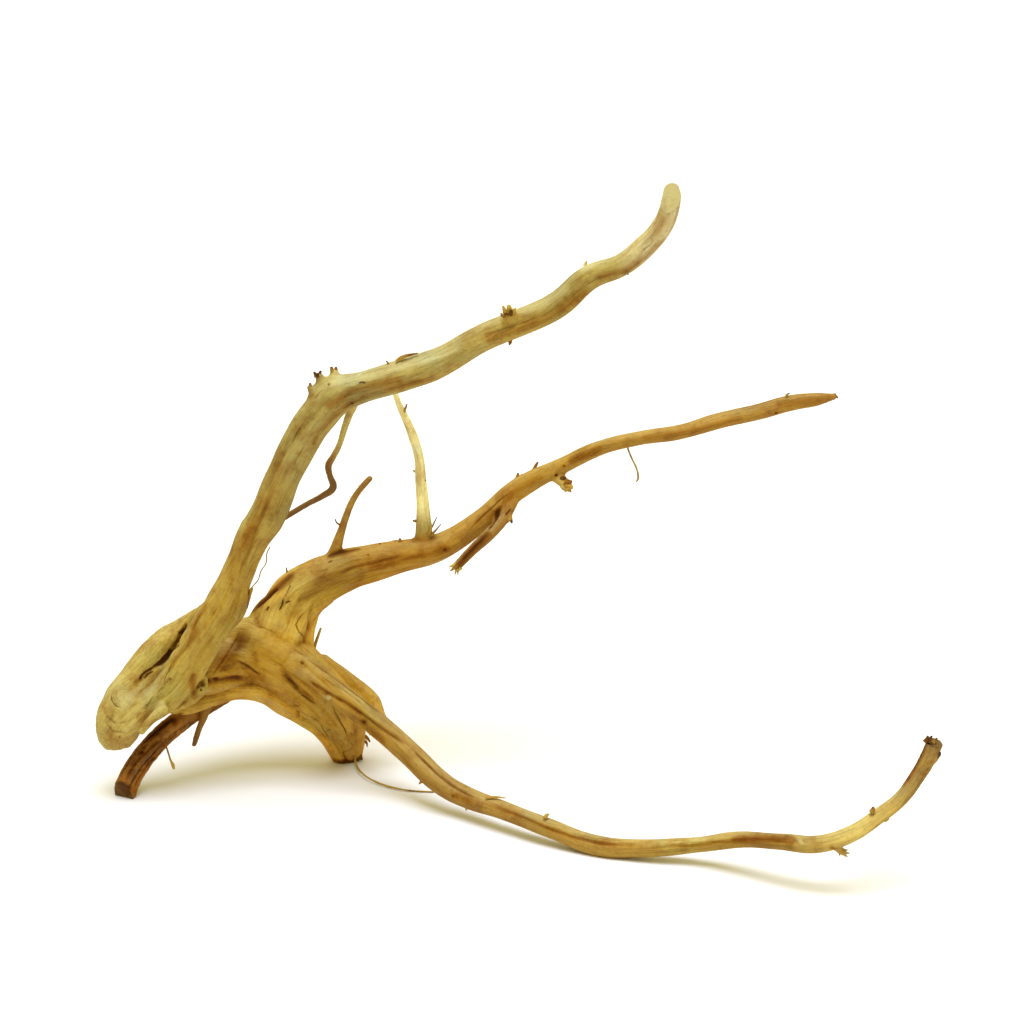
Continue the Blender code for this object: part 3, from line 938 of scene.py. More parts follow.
MARKS: tuple[Mark, ...] = (
    # the lobe
    groove_at(((187, 622), (183, 632), (178, 645), (170, 653), (160, 663), (150, 669)), 2.4, 0.7, 0.4, 0.5),
    ridge_at(((205, 603), (196, 617), (190, 633), (184, 646), (175, 657), (165, 667)), 2.0, 1.0, -0.1),
    crack_at(((153, 667), (146, 671), (141, 676), (139, 682)), 1.1, 0.8, 0.8, 0.6),
    crack_at(((154, 671), (148, 674), (144, 679)), 0.9, 0.7, 0.7, 0.5),
    stain_at(((205, 606), (199, 615), (194, 625)), 4.0, 0.1, 0.6),
    stain_at(((150, 672), (142, 678), (136, 683)), 2.6, 0.14, 0.6),
    stain_at(((192, 600), (185, 612), (180, 622)), 3.0, 0.05, 0.4),
    stain_at(((196, 632), (188, 645), (178, 656), (171, 668)), 3.6, 0.05, 0.5),
    crack_at(((172, 664), (166, 675), (163, 686)), 0.7, 0.3, 0.35),
    crack_at(((111, 695), (112, 701), (116, 706), (122, 708)), 0.7, 0.3, 0.55),
    crack_at(((117, 690), (116, 697), (120, 703)), 0.6, 0.15, 0.25),
    crack_at(((145, 708), (150, 702), (154, 695)), 0.7, 0.3, 0.4),
    crack_at(((157, 694), (163, 686), (170, 678)), 0.7, 0.25, 0.35),
    stain_at(((128, 700), (140, 693), (148, 688)), 9, -0.35),
    stain_at(((118, 703), (125, 697)), 6, -0.2),
    stain_at(((110, 737), (122, 742), (134, 737)), 6, 0.05, 0.5),
    stain_at(((104, 722), (112, 728)), 6, 0.12, 0.1),
    groove_at(((103, 706), (106, 716), (115, 723), (128, 722), (140, 714)), 1.0, 0.25, 0.10, 0.2),
    groove_at(((105, 722), (113, 731), (127, 733), (141, 726)), 1.0, 0.25, 0.10, 0.2),
    groove_at(((124, 688), (124, 699), (131, 706), (141, 702)), 0.9, 0.2, 0.08, 0.2),
    knot_at(170, 679, 1.8, 0.4, 0.3, 0.5),
    knot_at(120, 737, 1.2, 0.2, 0.5),
    groove_at(((158, 718), (150, 727), (143, 735)), 1.1, 0.9, 0.7, 0.5),
    groove_at(((186, 700), (176, 710), (168, 716)), 2.0, 0.3, 0.2, 0.2),
    # where the upper limb lies over the trunk, with painted shade along the crease under it
    crack_at(((240, 630), (234, 642), (227, 654), (219, 666), (210, 678)), 1.0, 0.5, 0.25, 0.6),
    # a broad groove with painted shade along the crease under the upper limb
    groove_at(((247, 624), (242, 636), (235, 650), (228, 662), (219, 674)), 6.0, 0.8, 0.20, 0.7),
    # a groove with painted shade in the hollow above the trunk's lip
    groove_at(((200, 686), (209, 681), (222, 679), (236, 678), (250, 680)), 3.2, 0.9, 0.32, 0.7),
    ridge_at(((199, 697), (212, 691), (228, 688), (250, 688)), 3, 0.5, -0.1),
    stain_at(((193, 676), (193, 686), (195, 697)), 3.0, 0.15, 0.9),
    knot_at(201, 690, 2.4, 0.9, 0.2),
    stain_at(((203, 692), (207, 690)), 2.0, -0.3),
    # the trunk
    crack_at(((236, 660), (244, 664), (253, 670), (261, 676)), 1.2, 0.6, 0.4, 0.5),
    stain_at(((236, 664), (250, 671), (262, 679)), 3.6, 0.12, 0.5),
    groove_at(((278, 668), (288, 678), (302, 692), (314, 702)), 3.6, 0.9, 0.2, 0.7),
    crack_at(((300, 694), (308, 699), (316, 704)), 0.9, 0.5, 0.5, 0.3),
    stain_at(((293, 706), (297, 706)), 2.4, 0.1, 0.9),
    knot_at(302, 663, 2.6, 0.6, 0.0, 0.6),
    stain_at(((306, 659), (311, 657)), 1.8, -0.2),
    stain_at(((300, 672), (314, 676)), 5.0, -0.15),
    groove_at(((300, 654), (322, 669), (345, 685), (366, 701), (384, 717)), 2.4, 0.7, 0.12, 0.5),
    groove_at(((308, 681), (320, 688), (330, 695)), 2.2, 0.5, 0.1, 0.9),
    crack_at(((322, 677), (331, 683), (342, 690)), 0.8, 0.3, 0.2, 0.4),
    ridge_at(((296, 664), (318, 681), (340, 698), (360, 713)), 2.0, 0.6, -0.1),
    knot_at(328, 698, 3.8, -0.9, -0.25),
    stain_at(((325, 698), (331, 698)), 3.0, -0.35),
    crack_at(((332, 705), (335, 712), (340, 721), (345, 730), (348, 738)), 0.8, 0.5, 0.5, 0.3),
    crack_at(((320, 724), (324, 731), (329, 738)), 0.8, 0.4, 0.4, 0.3),
    crack_at(((326, 732), (331, 729)), 0.7, 0.4, 0.5),
    stain_at(((322, 735), (333, 728), (338, 716)), 6.0, 0.0, 0.3),
    groove_at(((322, 690), (345, 702), (363, 715), (380, 728), (398, 739), (410, 747)), 2.0, 1.0, 0.35, 0.8),
    stain_at(((352, 715), (356, 730), (354, 744)), 7.0, 0.0, 0.5),
    groove_at(((366, 755), (366, 745), (368, 735), (364, 722)), 3.0, 0.8, 0.3, 0.5),
    stain_at(((336, 761), (344, 762), (353, 761), (361, 757)), 3.4, 0.75, 0.6),
    stain_at(((362, 722), (372, 732), (382, 741)), 4.0, 0.15, 0.7),
    stain_at(((255, 698), (272, 704), (288, 714)), 4.0, -0.15),
    stain_at(((244, 617), (262, 619), (280, 625), (296, 634)), 4.0, -0.12),
    crack_at(((246, 622), (262, 627), (278, 634)), 0.8, 0.3, 0.15, 0.5),
    # the root of the middle limb
    stain_at(((254, 609), (261, 603), (270, 595), (281, 585), (290, 577)), 5.0, 0.55, 1.0),
    stain_at(((266, 611), (276, 605), (286, 600)), 4.0, 0.03, 0.4),
    crack_at(((279, 611), (282, 605), (283, 598)), 1.0, 0.7, 0.9, 0.5),
    crack_at(((266, 611), (269, 606)), 1.0, 0.7, 0.9, 0.5),
    crack_at(((285, 603), (290, 601)), 0.8, 0.5, 0.8, 0.5),
    crack_at(((304, 613), (299, 619), (296, 625), (299, 632), (304, 638)), 0.8, 0.5, 0.4, 0.6),
    groove_at(((313, 604), (309, 618), (309, 632), (314, 643)), 2.6, 0.6, 0.1, 0.5),
    crack_at(((291, 584), (287, 592), (284, 597)), 0.8, 0.3, 0.4, 0.6),
    stain_at(((330, 556), (336, 553), (350, 551), (358, 549)), 2.6, 0.5, 0.6),
    crack_at(((328, 563), (333, 560)), 0.8, 0.4, 0.7),
    stain_at(((372, 568), (400, 561), (430, 554), (446, 549)), 3.6, 0.1, 0.9),
    stain_at(((306, 596), (320, 582), (345, 573)), 6.0, 0.05, 0.7),
    knot_at(368, 555, 1.4, 0.3, 0.5),
    knot_at(395, 541, 2.6, 0.4, 0.2),
    knot_at(445, 550, 2.0, 0.4, 0.4, 0.8),
    groove_at(((330, 577), (352, 568), (380, 561), (412, 553)), 1.6, 0.4, 0.15, 0.5),
    groove_at(((487, 531), (492, 523), (497, 513), (502, 505)), 2.4, 1.3, 0.9, 0.8),
    stain_at(((487, 534), (480, 542), (470, 552), (460, 564)), 3.4, 0.55, 0.9),
    groove_at(((486, 535), (478, 543), (468, 554), (459, 564)), 2.6, 1.1, 0.2, 0.3),
    crack_at(((505, 516), (511, 509)), 0.8, 0.5, 0.8),
    knot_at(556, 475, 1.8, 0.5, 0.9, 0.5),
    knot_at(564, 466, 1.4, 0.3, 0.4, 0.5),
    stain_at(((563, 478), (570, 483)), 2.0, 0.3, 1.0),
    stain_at(((572, 460), (586, 455), (600, 449)), 3.2, 0.1, 0.9),
    stain_at(((508, 496), (522, 487), (540, 478)), 3.0, 0.10, 0.6),
    crack_at(((470, 529), (485, 514), (500, 500), (512, 491)), 0.9, 0.4, 0.35, 0.5),
    knot_at(776, 413, 1.2, 0.3, 0.8),
    stain_at(((780, 404), (800, 402), (818, 400)), 3.0, 0.05, 0.9),
    stain_at(((646, 438), (690, 431), (740, 419)), 3.0, 0.05, 0.7),
    # the elbow and the upper limb
    stain_at(((286, 443), (292, 436), (297, 429)), 3.0, 0.24),
    stain_at(((283, 454), (286, 447)), 2.2, 0.25),
    stain_at(((297, 452), (302, 455)), 2.2, 0.16, 0.3),
    stain_at(((277, 470), (274, 488), (268, 508)), 6.5, 0.12, 0.3),
    stain_at(((262, 500), (254, 522), (245, 545)), 5.0, 0.08, 0.5),
    stain_at(((250, 528), (240, 552), (230, 574)), 5.0, 0.06, 0.4),
    groove_at(((276, 480), (262, 515), (247, 555), (236, 585)), 2.4, 0.4, 0.1, 0.3),
    stain_at(((320, 432), (345, 407), (366, 396), (395, 388), (430, 378)), 3.2, 0.2, 0.6),
    stain_at(((330, 405), (350, 392), (372, 386), (398, 380)), 3.6, 0.15, 0.8),
    stain_at(((317, 437), (314, 443)), 2.0, 0.35, 0.4),
    crack_at(((358, 383), (362, 382), (366, 383)), 0.8, 0.4, 0.8, 0.5),
    knot_at(352, 403, 1.2, 0.3, 0.7, 0.5),
    knot_at(329, 385, 2.2, 0.8, 0.35, 0.4),
    crack_at(((325, 388), (319, 393), (313, 400)), 0.8, 0.4, 0.25, 0.4),
    stain_at(((318, 388), (345, 380), (380, 374), (415, 362), (455, 348)), 4.0, -0.35),
    stain_at(((500, 318), (540, 305), (565, 290)), 4, -0.4),
    stain_at(((490, 338), (520, 329), (545, 319), (566, 308), (584, 294)), 4.2, 0.10, 0.7),
    stain_at(((600, 277), (625, 270), (646, 257), (660, 243)), 3.2, 0.12, 0.7),
    stain_at(((626, 273), (640, 267), (652, 257)), 2.6, 0.28, 0.3),
    stain_at(((504, 313), (512, 313)), 2.4, 0.5, 0.5),
    stain_at(((583, 268), (593, 264)), 3.0, -0.8),
    crack_at(((640, 252), (650, 245), (656, 237)), 0.7, 0.25, 0.2, 0.5),
    stain_at(((676, 195), (678, 212), (672, 228)), 2.0, 0.0, 0.4),
    # the lower limb
    groove_at(((410, 747), (426, 763), (440, 776), (458, 789), (480, 800)), 1.5, 0.7, 0.35, 0.7),
    groove_at(
        ((480, 800), (500, 808), (520, 816), (545, 827), (570, 836), (600, 843), (640, 846)), 1.7, 0.5, 0.28,
        0.9,
    ),
    groove_at(((660, 846), (690, 846), (720, 842), (750, 839), (790, 841)), 1.5, 0.4, 0.24, 0.6),
    stain_at(((548, 830), (580, 842), (620, 850), (670, 851), (720, 847), (770, 845)), 2.6, 0.0, 0.35),
    stain_at(((735, 839), (765, 838), (792, 841)), 3.2, 0.22, 0.9),
    ridge_at(((797, 837), (800, 841), (803, 846)), 1.6, 0.5, -0.5),
    stain_at(((832, 848), (837, 849)), 1.8, 0.5, 0.5),
    stain_at(((456, 795), (463, 799), (470, 801)), 2.6, 0.15, 0.7),
    knot_at(786, 837, 1.8, 0.3, 0.15),
    knot_at(453, 796, 1.2, 0.3, 0.4),
    Mark(Stroke.BARK, ((926, 741), (920, 752), (915, 764), (909, 777), (901, 788)), 2.4, 0.4, 0.55, 0.9),
    stain_at(((926, 741), (930, 741)), 2.0, 0.7, 0.5),
    stain_at(((928, 763), (933, 761)), 1.6, 0.1, 0.9),
    # the left root
    knot_at(142, 752, 3.2, 0.7, 0.3),
    crack_at(((127, 790), (134, 778), (142, 766), (150, 757), (162, 745)), 0.8, 0.5, 0.9),
    crack_at(((139, 748), (150, 737), (163, 727), (176, 717)), 0.9, 0.6, 0.8),
    groove_at(((124, 784), (131, 770), (140, 758), (152, 747), (166, 736)), 1.2, 0.6, 0.35, 0.3),
    groove_at(((132, 792), (140, 777), (149, 764), (160, 753)), 1.4, 0.6, 0.40),
    ridge_at(((128, 788), (136, 774), (146, 760), (157, 749)), 1.0, 0.4, -0.15),
    crack_at(((120, 778), (127, 765), (133, 754)), 0.7, 0.4, 0.6),
    # painted shade where the root runs under the lobe
    stain_at(((150, 737), (160, 728), (170, 720), (180, 714)), 3.4, 0.75),
    stain_at(((118, 783), (128, 788), (136, 792)), 2.4, 0.35),
)


@dataclass
class MarkReading:
    """What the marks do at each point of a surface.

    Attributes:
        sunk: How far it sinks, in metres.
        dark: How dark it becomes.
        rust: How red it becomes.
        bark: How much bark lies on it.
        crack: How far it lies to one side of the nearest crack, in millimetres, and that crack's strength.
    """

    sunk: np.ndarray
    dark: np.ndarray
    rust: np.ndarray
    bark: np.ndarray
    crack: np.ndarray


class MarkedSurface:
    """The marks laid on the skin.

    Attributes:
        spacing: From one point of a mark's line to the next, in metres.
        crack_reach: How far from a crack its line can be drawn.
        crack_clear: Where in that reach the line starts to fade, as a share.
        crack_gloom: How far a crack darkens the wood beside it, as a share.
        leap: How far apart two points of a mark may lie before they count as different limbs.
        taper_from: The most steps of a mark that doesn't taper.
        taper_rate: How soon a mark comes to its full depth from either end.
        checks: How many drying cracks each limb has.
        check_steps: The steps of a drying crack.
        check_spans: What each drying crack is drawn from, in the order of the draws: its start as a share of
            the limb's length, its length in millimetres, its turn round the limb in degrees, its drift in
            degrees a millimetre, its half width and its depth in millimetres, and how dark it is.
    """

    spacing: float = 0.5 * MM
    crack_reach: float = 1.7 * MM
    crack_clear: float = 0.55
    crack_gloom: float = 0.45
    leap: float = 7 * MM
    taper_from: int = 3
    taper_rate: int = 5
    checks: tuple[tuple[str, int], ...] = (
        ("upper_limb", 24), ("middle_limb", 20), ("lower_limb", 18), ("trunk", 8), ("left_root", 16),
        ("branchlet", 4), ("split_strip", 3),
    )
    check_steps: int = 6
    check_spans: tuple[tuple[float, float], ...] = (
        (0.02, 0.93), (6, 30), (0, 360), (-0.6, 0.6), (0.6, 0.9), (0.10, 0.30), (0.06, 0.26),
    )

    def __init__(self, mesh: bpy.types.Mesh, hearts: dict[str, HeartLine]) -> None:
        """Follows each mark's pixels to the skin.

        Args:
            mesh: The skin before anything is carved into it.
            hearts: The limbs' heart lines.
        """
        self.tree = tree_of(mesh)
        self.lines: list[tuple[Mark, list[tuple[Vector, Vector]]]] = []
        for mark in MARKS:
            self.lines += [(mark, self.dense(line)) for line in self.followed(mark)]
        self.lines += self.weather_checks(hearts)
        log.info("%d marks on the skin", len(self.lines))

    def followed(self, mark: Mark) -> list[list[Vector]]:
        """The mark's points on the skin, as one line for each stretch that stays on the same limb."""
        runs: list[list[Vector]] = [[]]
        last = (0.0, 0.0)
        for x, y in mark.pixels:
            point = self.tree.ray_cast(VIEW.eye, VIEW.sight(x, y))[0]
            if point is None:
                continue
            if runs[-1] and (point - runs[-1][-1]).length > self.leap + math.dist(last, (x, y)) * MM:
                runs.append([])
            runs[-1].append(point)
            last = (x, y)
        return [run for run in runs if run]

    def dense(self, line: list[Vector]) -> list[tuple[Vector, Vector]]:
        """The line with points close together, each on the surface, and the way the surface faces there."""
        found = [self.tree.find_nearest(line[0])[:2]]
        for start, end in zip(line, line[1:]):
            count = max(1, math.ceil((end - start).length / self.spacing))
            steps = [start.lerp(end, step / count) for step in range(1, count + 1)]
            found += [self.tree.find_nearest(step)[:2] for step in steps]
        return found

    def weather_checks(self, hearts: dict[str, HeartLine]) -> list[tuple[Mark, list[tuple[Vector, Vector]]]]:
        """Fine drying cracks that run along the grain, all round each limb."""
        draw = random.Random(11)
        found = []
        for name, count in self.checks:
            heart = hearts[name]
            length = heart.runs[-1] / MM
            for _ in range(count):
                drawn = [draw.uniform(low, high) for low, high in self.check_spans]
                share, long, turn, drift, wide, deep, dark = drawn
                line = []
                for k in range(self.check_steps + 1):
                    step = k / self.check_steps * long
                    line.append(heart.on_bark(min(share * length + step, length - 1), turn + drift * step))
                found.append((Mark(Stroke.CRACK, (), wide, deep, dark, dark), self.dense(line)))
        return found

    def read(self, points: np.ndarray) -> MarkReading:
        """What the marks do at each of these points, which lie near the skin."""
        tree = near_tree(points)
        count = len(points)
        total = MarkReading(*(np.zeros(count) for _ in range(4)), np.zeros((count, 2)))
        nearest_crack = np.full(count, self.crack_reach)
        for mark, line in self.lines:
            is_crack = mark.stroke is Stroke.CRACK
            gloom = self.crack_gloom if is_crack else 1
            width = mark.width * MM
            last = len(line) - 1
            best: dict[int, tuple[float, int]] = {}
            for step, (place, _) in enumerate(line):
                for _, index, distance in tree.find_range(place, max(width, self.crack_reach * is_crack)):
                    if index not in best or distance < best[index][0]:
                        best[index] = (distance, step)
            if not best:
                continue
            which = np.array(list(best), int)
            away = np.array([best[i][0] for i in which])
            steps = np.array([best[i][1] for i in which])
            taper = np.ones(len(which))
            if last > self.taper_from and mark.stroke is not Stroke.STAIN:
                taper = np.minimum(1, np.minimum(steps, last - steps) * self.taper_rate / last)
            out = np.minimum(away / width, 1)
            fade = (1 - out**2) ** 2 * taper
            total.sunk[which] += mark.stroke.depth(out) * mark.depth * MM * taper * (out < 1)
            total.rust[which] += mark.rust * fade
            total.dark[which] += mark.dark * fade * gloom
            if mark.stroke is Stroke.BARK:
                total.bark[which] += fade
            if is_crack and last > 0:
                strength = taper * mark.dark
                self.lay_crack(total.crack, nearest_crack, points, line, which, away, steps, strength)
        return total

    def lay_crack(
        self,
        crack: np.ndarray,
        nearest: np.ndarray,
        points: np.ndarray,
        line: list[tuple[Vector, Vector]],
        which: np.ndarray,
        away: np.ndarray,
        steps: np.ndarray,
        strength: np.ndarray,
    ) -> None:
        """Notes on which side of a crack each point lies, so that the finish can draw a hair-thin line.

        Args:
            crack: The rows to fill: side in millimetres, and strength.
            nearest: How far each point is from the nearest crack so far.
            points: All of the surface's points.
            line: The crack's points and the way the surface faces at each.
            which: The points near it.
            away: How far each is from it.
            steps: The step of the line that is nearest to each.
            strength: How strong the crack is there.
        """
        closer = away < nearest[which]
        which, away, steps, strength = which[closer], away[closer], steps[closer], strength[closer]
        nearest[which] = away
        spots = np.array([place for place, _ in line])
        facing = np.array([way for _, way in line])
        tangent = np.gradient(spots, axis=0)
        side = np.cross(tangent, facing)
        side /= np.linalg.norm(side, axis=1)[:, None] + 1e-12
        offset = ((points[which] - spots[steps]) * side[steps]).sum(1)
        crack[which, 0] = offset / MM
        crack[which, 1] = strength * (1 - eased(away / self.crack_reach, self.crack_clear, 1.0))


@dataclass
class GrainReading:
    """Where the points of a surface lie in the grown wood.

    Attributes:
        unbent: Each point's place in each family of grain, if the limb were straight.
        shares: Each point's share in each family.
        colour: The wood's colour.
        painted_top_light_and_bleach: How far its upper side is paled, by sun bleaching and by painted light
            from above.
        bark: How much bark it keeps.
        girth: The limb's radius there, in millimetres.
    """

    unbent: list[np.ndarray]
    shares: np.ndarray
    colour: np.ndarray
    painted_top_light_and_bleach: np.ndarray
    bark: np.ndarray
    girth: np.ndarray


def all_hearts() -> dict[str, HeartLine]:
    """The heart line of every limb, by its name."""
    return {name: HeartLine(limb.route) for name, limb in LIMBS.items()}


@dataclass
class Grain:
    """The heart lines of all limbs, which say which limb each point of a surface belongs to.

    Attributes:
        hearts: The heart lines, by the limb's name.
        softness: How softly one family of grain passes into the next, in metres.
        far_off: Farther from any limb than a point can be, in metres.
    """

    hearts: dict[str, HeartLine] = field(default_factory=all_hearts)
    softness: float = 1.7 * MM
    far_off: float = 1.0

    def read(self, points: np.ndarray) -> GrainReading:
        """Finds each point's limbs."""
        count = len(points)
        gaps = np.full((count, len(Flow)), self.far_off)
        unbent = [np.zeros((count, 3)) for _ in Flow]
        # red, green, blue, bleach (sun bleaching and painted top light), bark and girth
        values = np.zeros((len(Flow), count, 6))
        for name, limb in LIMBS.items():
            flow = limb.flow.value
            heart = self.hearts[name]
            here = heart.close_by(points)
            near = heart.nearest(points[here])
            clear = heart.clearance(points[here], near)
            closer = clear < gaps[here, flow]
            here, near = here[closer], near[closer]
            gaps[here, flow] = clear[closer]
            girth = heart.radii[near] / MM
            guide = limb.guide or name
            if limb.guide:
                near = self.hearts[guide].nearest(points[here])
            place = self.hearts[guide].unbent(points[here], near)
            unbent[flow][here] = place
            stops = LIMBS[guide].shades
            at = [stop.along * MM for stop in stops]
            for k in range(3):
                values[flow, here, k] = np.interp(place[:, 0], at, [stop.colour[k] for stop in stops])
            values[flow, here, 3:5] = limb.painted_top_light_and_bleach, limb.bark
            values[flow, here, 5] = girth
        shares = np.exp(-(gaps - gaps.min(1, keepdims=True)) / self.softness)
        shares /= shares.sum(1, keepdims=True)
        total = np.einsum("fnk,nf->nk", values, shares)
        return GrainReading(unbent, shares, total[:, :3], total[:, 3], total[:, 4], total[:, 5])


class Dressing:
    """What a surface carries for the wood's finish: its grain, colour, bark, cracks and dark places, where
    the colour and the dark hold painted shade and light as well.
    """

    names: tuple[str, str, str] = ("grain_reaching", "grain_trunk", "grain_back")

    @staticmethod
    def write(mesh: bpy.types.Mesh, name: str, kind: str, rows: np.ndarray) -> None:
        """Stores one value for each point.

        Args:
            mesh: The surface.
            name: The attribute's name.
            kind: FLOAT, FLOAT_VECTOR or FLOAT_COLOR.
            rows: The values.
        """
        layer = mesh.attributes.get(name) or mesh.attributes.new(name, kind, "POINT")
        key = {"FLOAT": "value", "FLOAT_VECTOR": "vector", "FLOAT_COLOR": "color"}[kind]
        layer.data.foreach_set(key, rows.astype(np.float32).ravel())

    @classmethod
    def put_on(
        cls,
        mesh: bpy.types.Mesh,
        unbent: Sequence[np.ndarray],
        shares: np.ndarray,
        colour: np.ndarray,
        dark: np.ndarray,
        bark: np.ndarray,
        crack: np.ndarray,
    ) -> None:
        """Writes all of it to the mesh."""
        for name, rows in zip(cls.names, unbent):
            cls.write(mesh, name, "FLOAT_VECTOR", rows)
        cls.write(mesh, "grain_share", "FLOAT_VECTOR", shares)
        cls.write(mesh, "tint", "FLOAT_COLOR", np.hstack([colour, np.ones((len(colour), 1))]))
        cls.write(mesh, "dark", "FLOAT", dark)
        cls.write(mesh, "bark", "FLOAT", bark)
        cls.write(mesh, "crack", "FLOAT_VECTOR", np.hstack([crack, np.zeros((len(crack), 1))]))


@dataclass
class Nodes:
    """A short way to lay out a material's nodes."""

    tree: bpy.types.NodeTree

    def add(
        self, kind: str, inputs: dict[str | int, object] | None = None, **settings: object
    ) -> bpy.types.Node:
        """A node with its settings and inputs.

        Args:
            kind: The node's type without ShaderNode.
            inputs: Values or sockets for its inputs, by name or number.
            settings: Its own properties.

        Returns:
            The node.
        """
        made = self.tree.nodes.new("ShaderNode" + kind)
        for key, value in settings.items():
            setattr(made, key, value)
        for key, value in (inputs or {}).items():
            socket = made.inputs[key]
            if isinstance(value, bpy.types.NodeSocket):
                self.tree.links.new(value, socket)
            else:
                socket.default_value = value
        return made

    def sum(self, operation: str, *values: object) -> bpy.types.NodeSocket:
        """One Math node's result."""
        return self.add("Math", dict(enumerate(values)), operation=operation).outputs[0]

    def mix(self, share: object, low: object, high: object, blend: str = "MIX") -> bpy.types.NodeSocket:
        """A colour between two others."""
        made = self.add("Mix", {}, data_type="RGBA", blend_type=blend)
        for key, value in zip((0, 6, 7), (share, low, high)):
            if isinstance(value, bpy.types.NodeSocket):
                self.tree.links.new(value, made.inputs[key])
            else:
                made.inputs[key].default_value = value if key == 0 else (*value, 1)
        return made.outputs[2]

    def span(
        self,
        value: object,
        low: float,
        high: float,
        start: float = 0,
        end: float = 1,
        kind: str = "SMOOTHSTEP",
    ) -> bpy.types.NodeSocket:
        """A value moved from the span low to high to the span start to end, and kept within it."""
        inputs = {0: value, 1: low, 2: high, 3: start, 4: end}
        return self.add("MapRange", inputs, interpolation_type=kind).outputs[0]

    def tone(self, share: object, colour: object, by: Colour) -> bpy.types.NodeSocket:
        """A colour multiplied by another, as far as the share says."""
        return self.mix(share, colour, by, "MULTIPLY")

    def attribute(self, name: str) -> bpy.types.Node:
        """The node that reads a surface attribute."""
        return self.add("Attribute", attribute_name=name)


@dataclass(frozen=True)
class Mottle:
    """A change in the wood's colour where one of its patterns runs high or low.

    Attributes:
        pattern: The pattern's name.
        start: The pattern's value where the change starts.
        full: The pattern's value where it is strongest.
        share: How strong it is there, from 0 to 1.
        tone: What the wood's colour is multiplied by.
    """

    pattern: str
    start: float
    full: float
    share: float
    tone: Colour


Patterns = dict[str, bpy.types.NodeSocket]


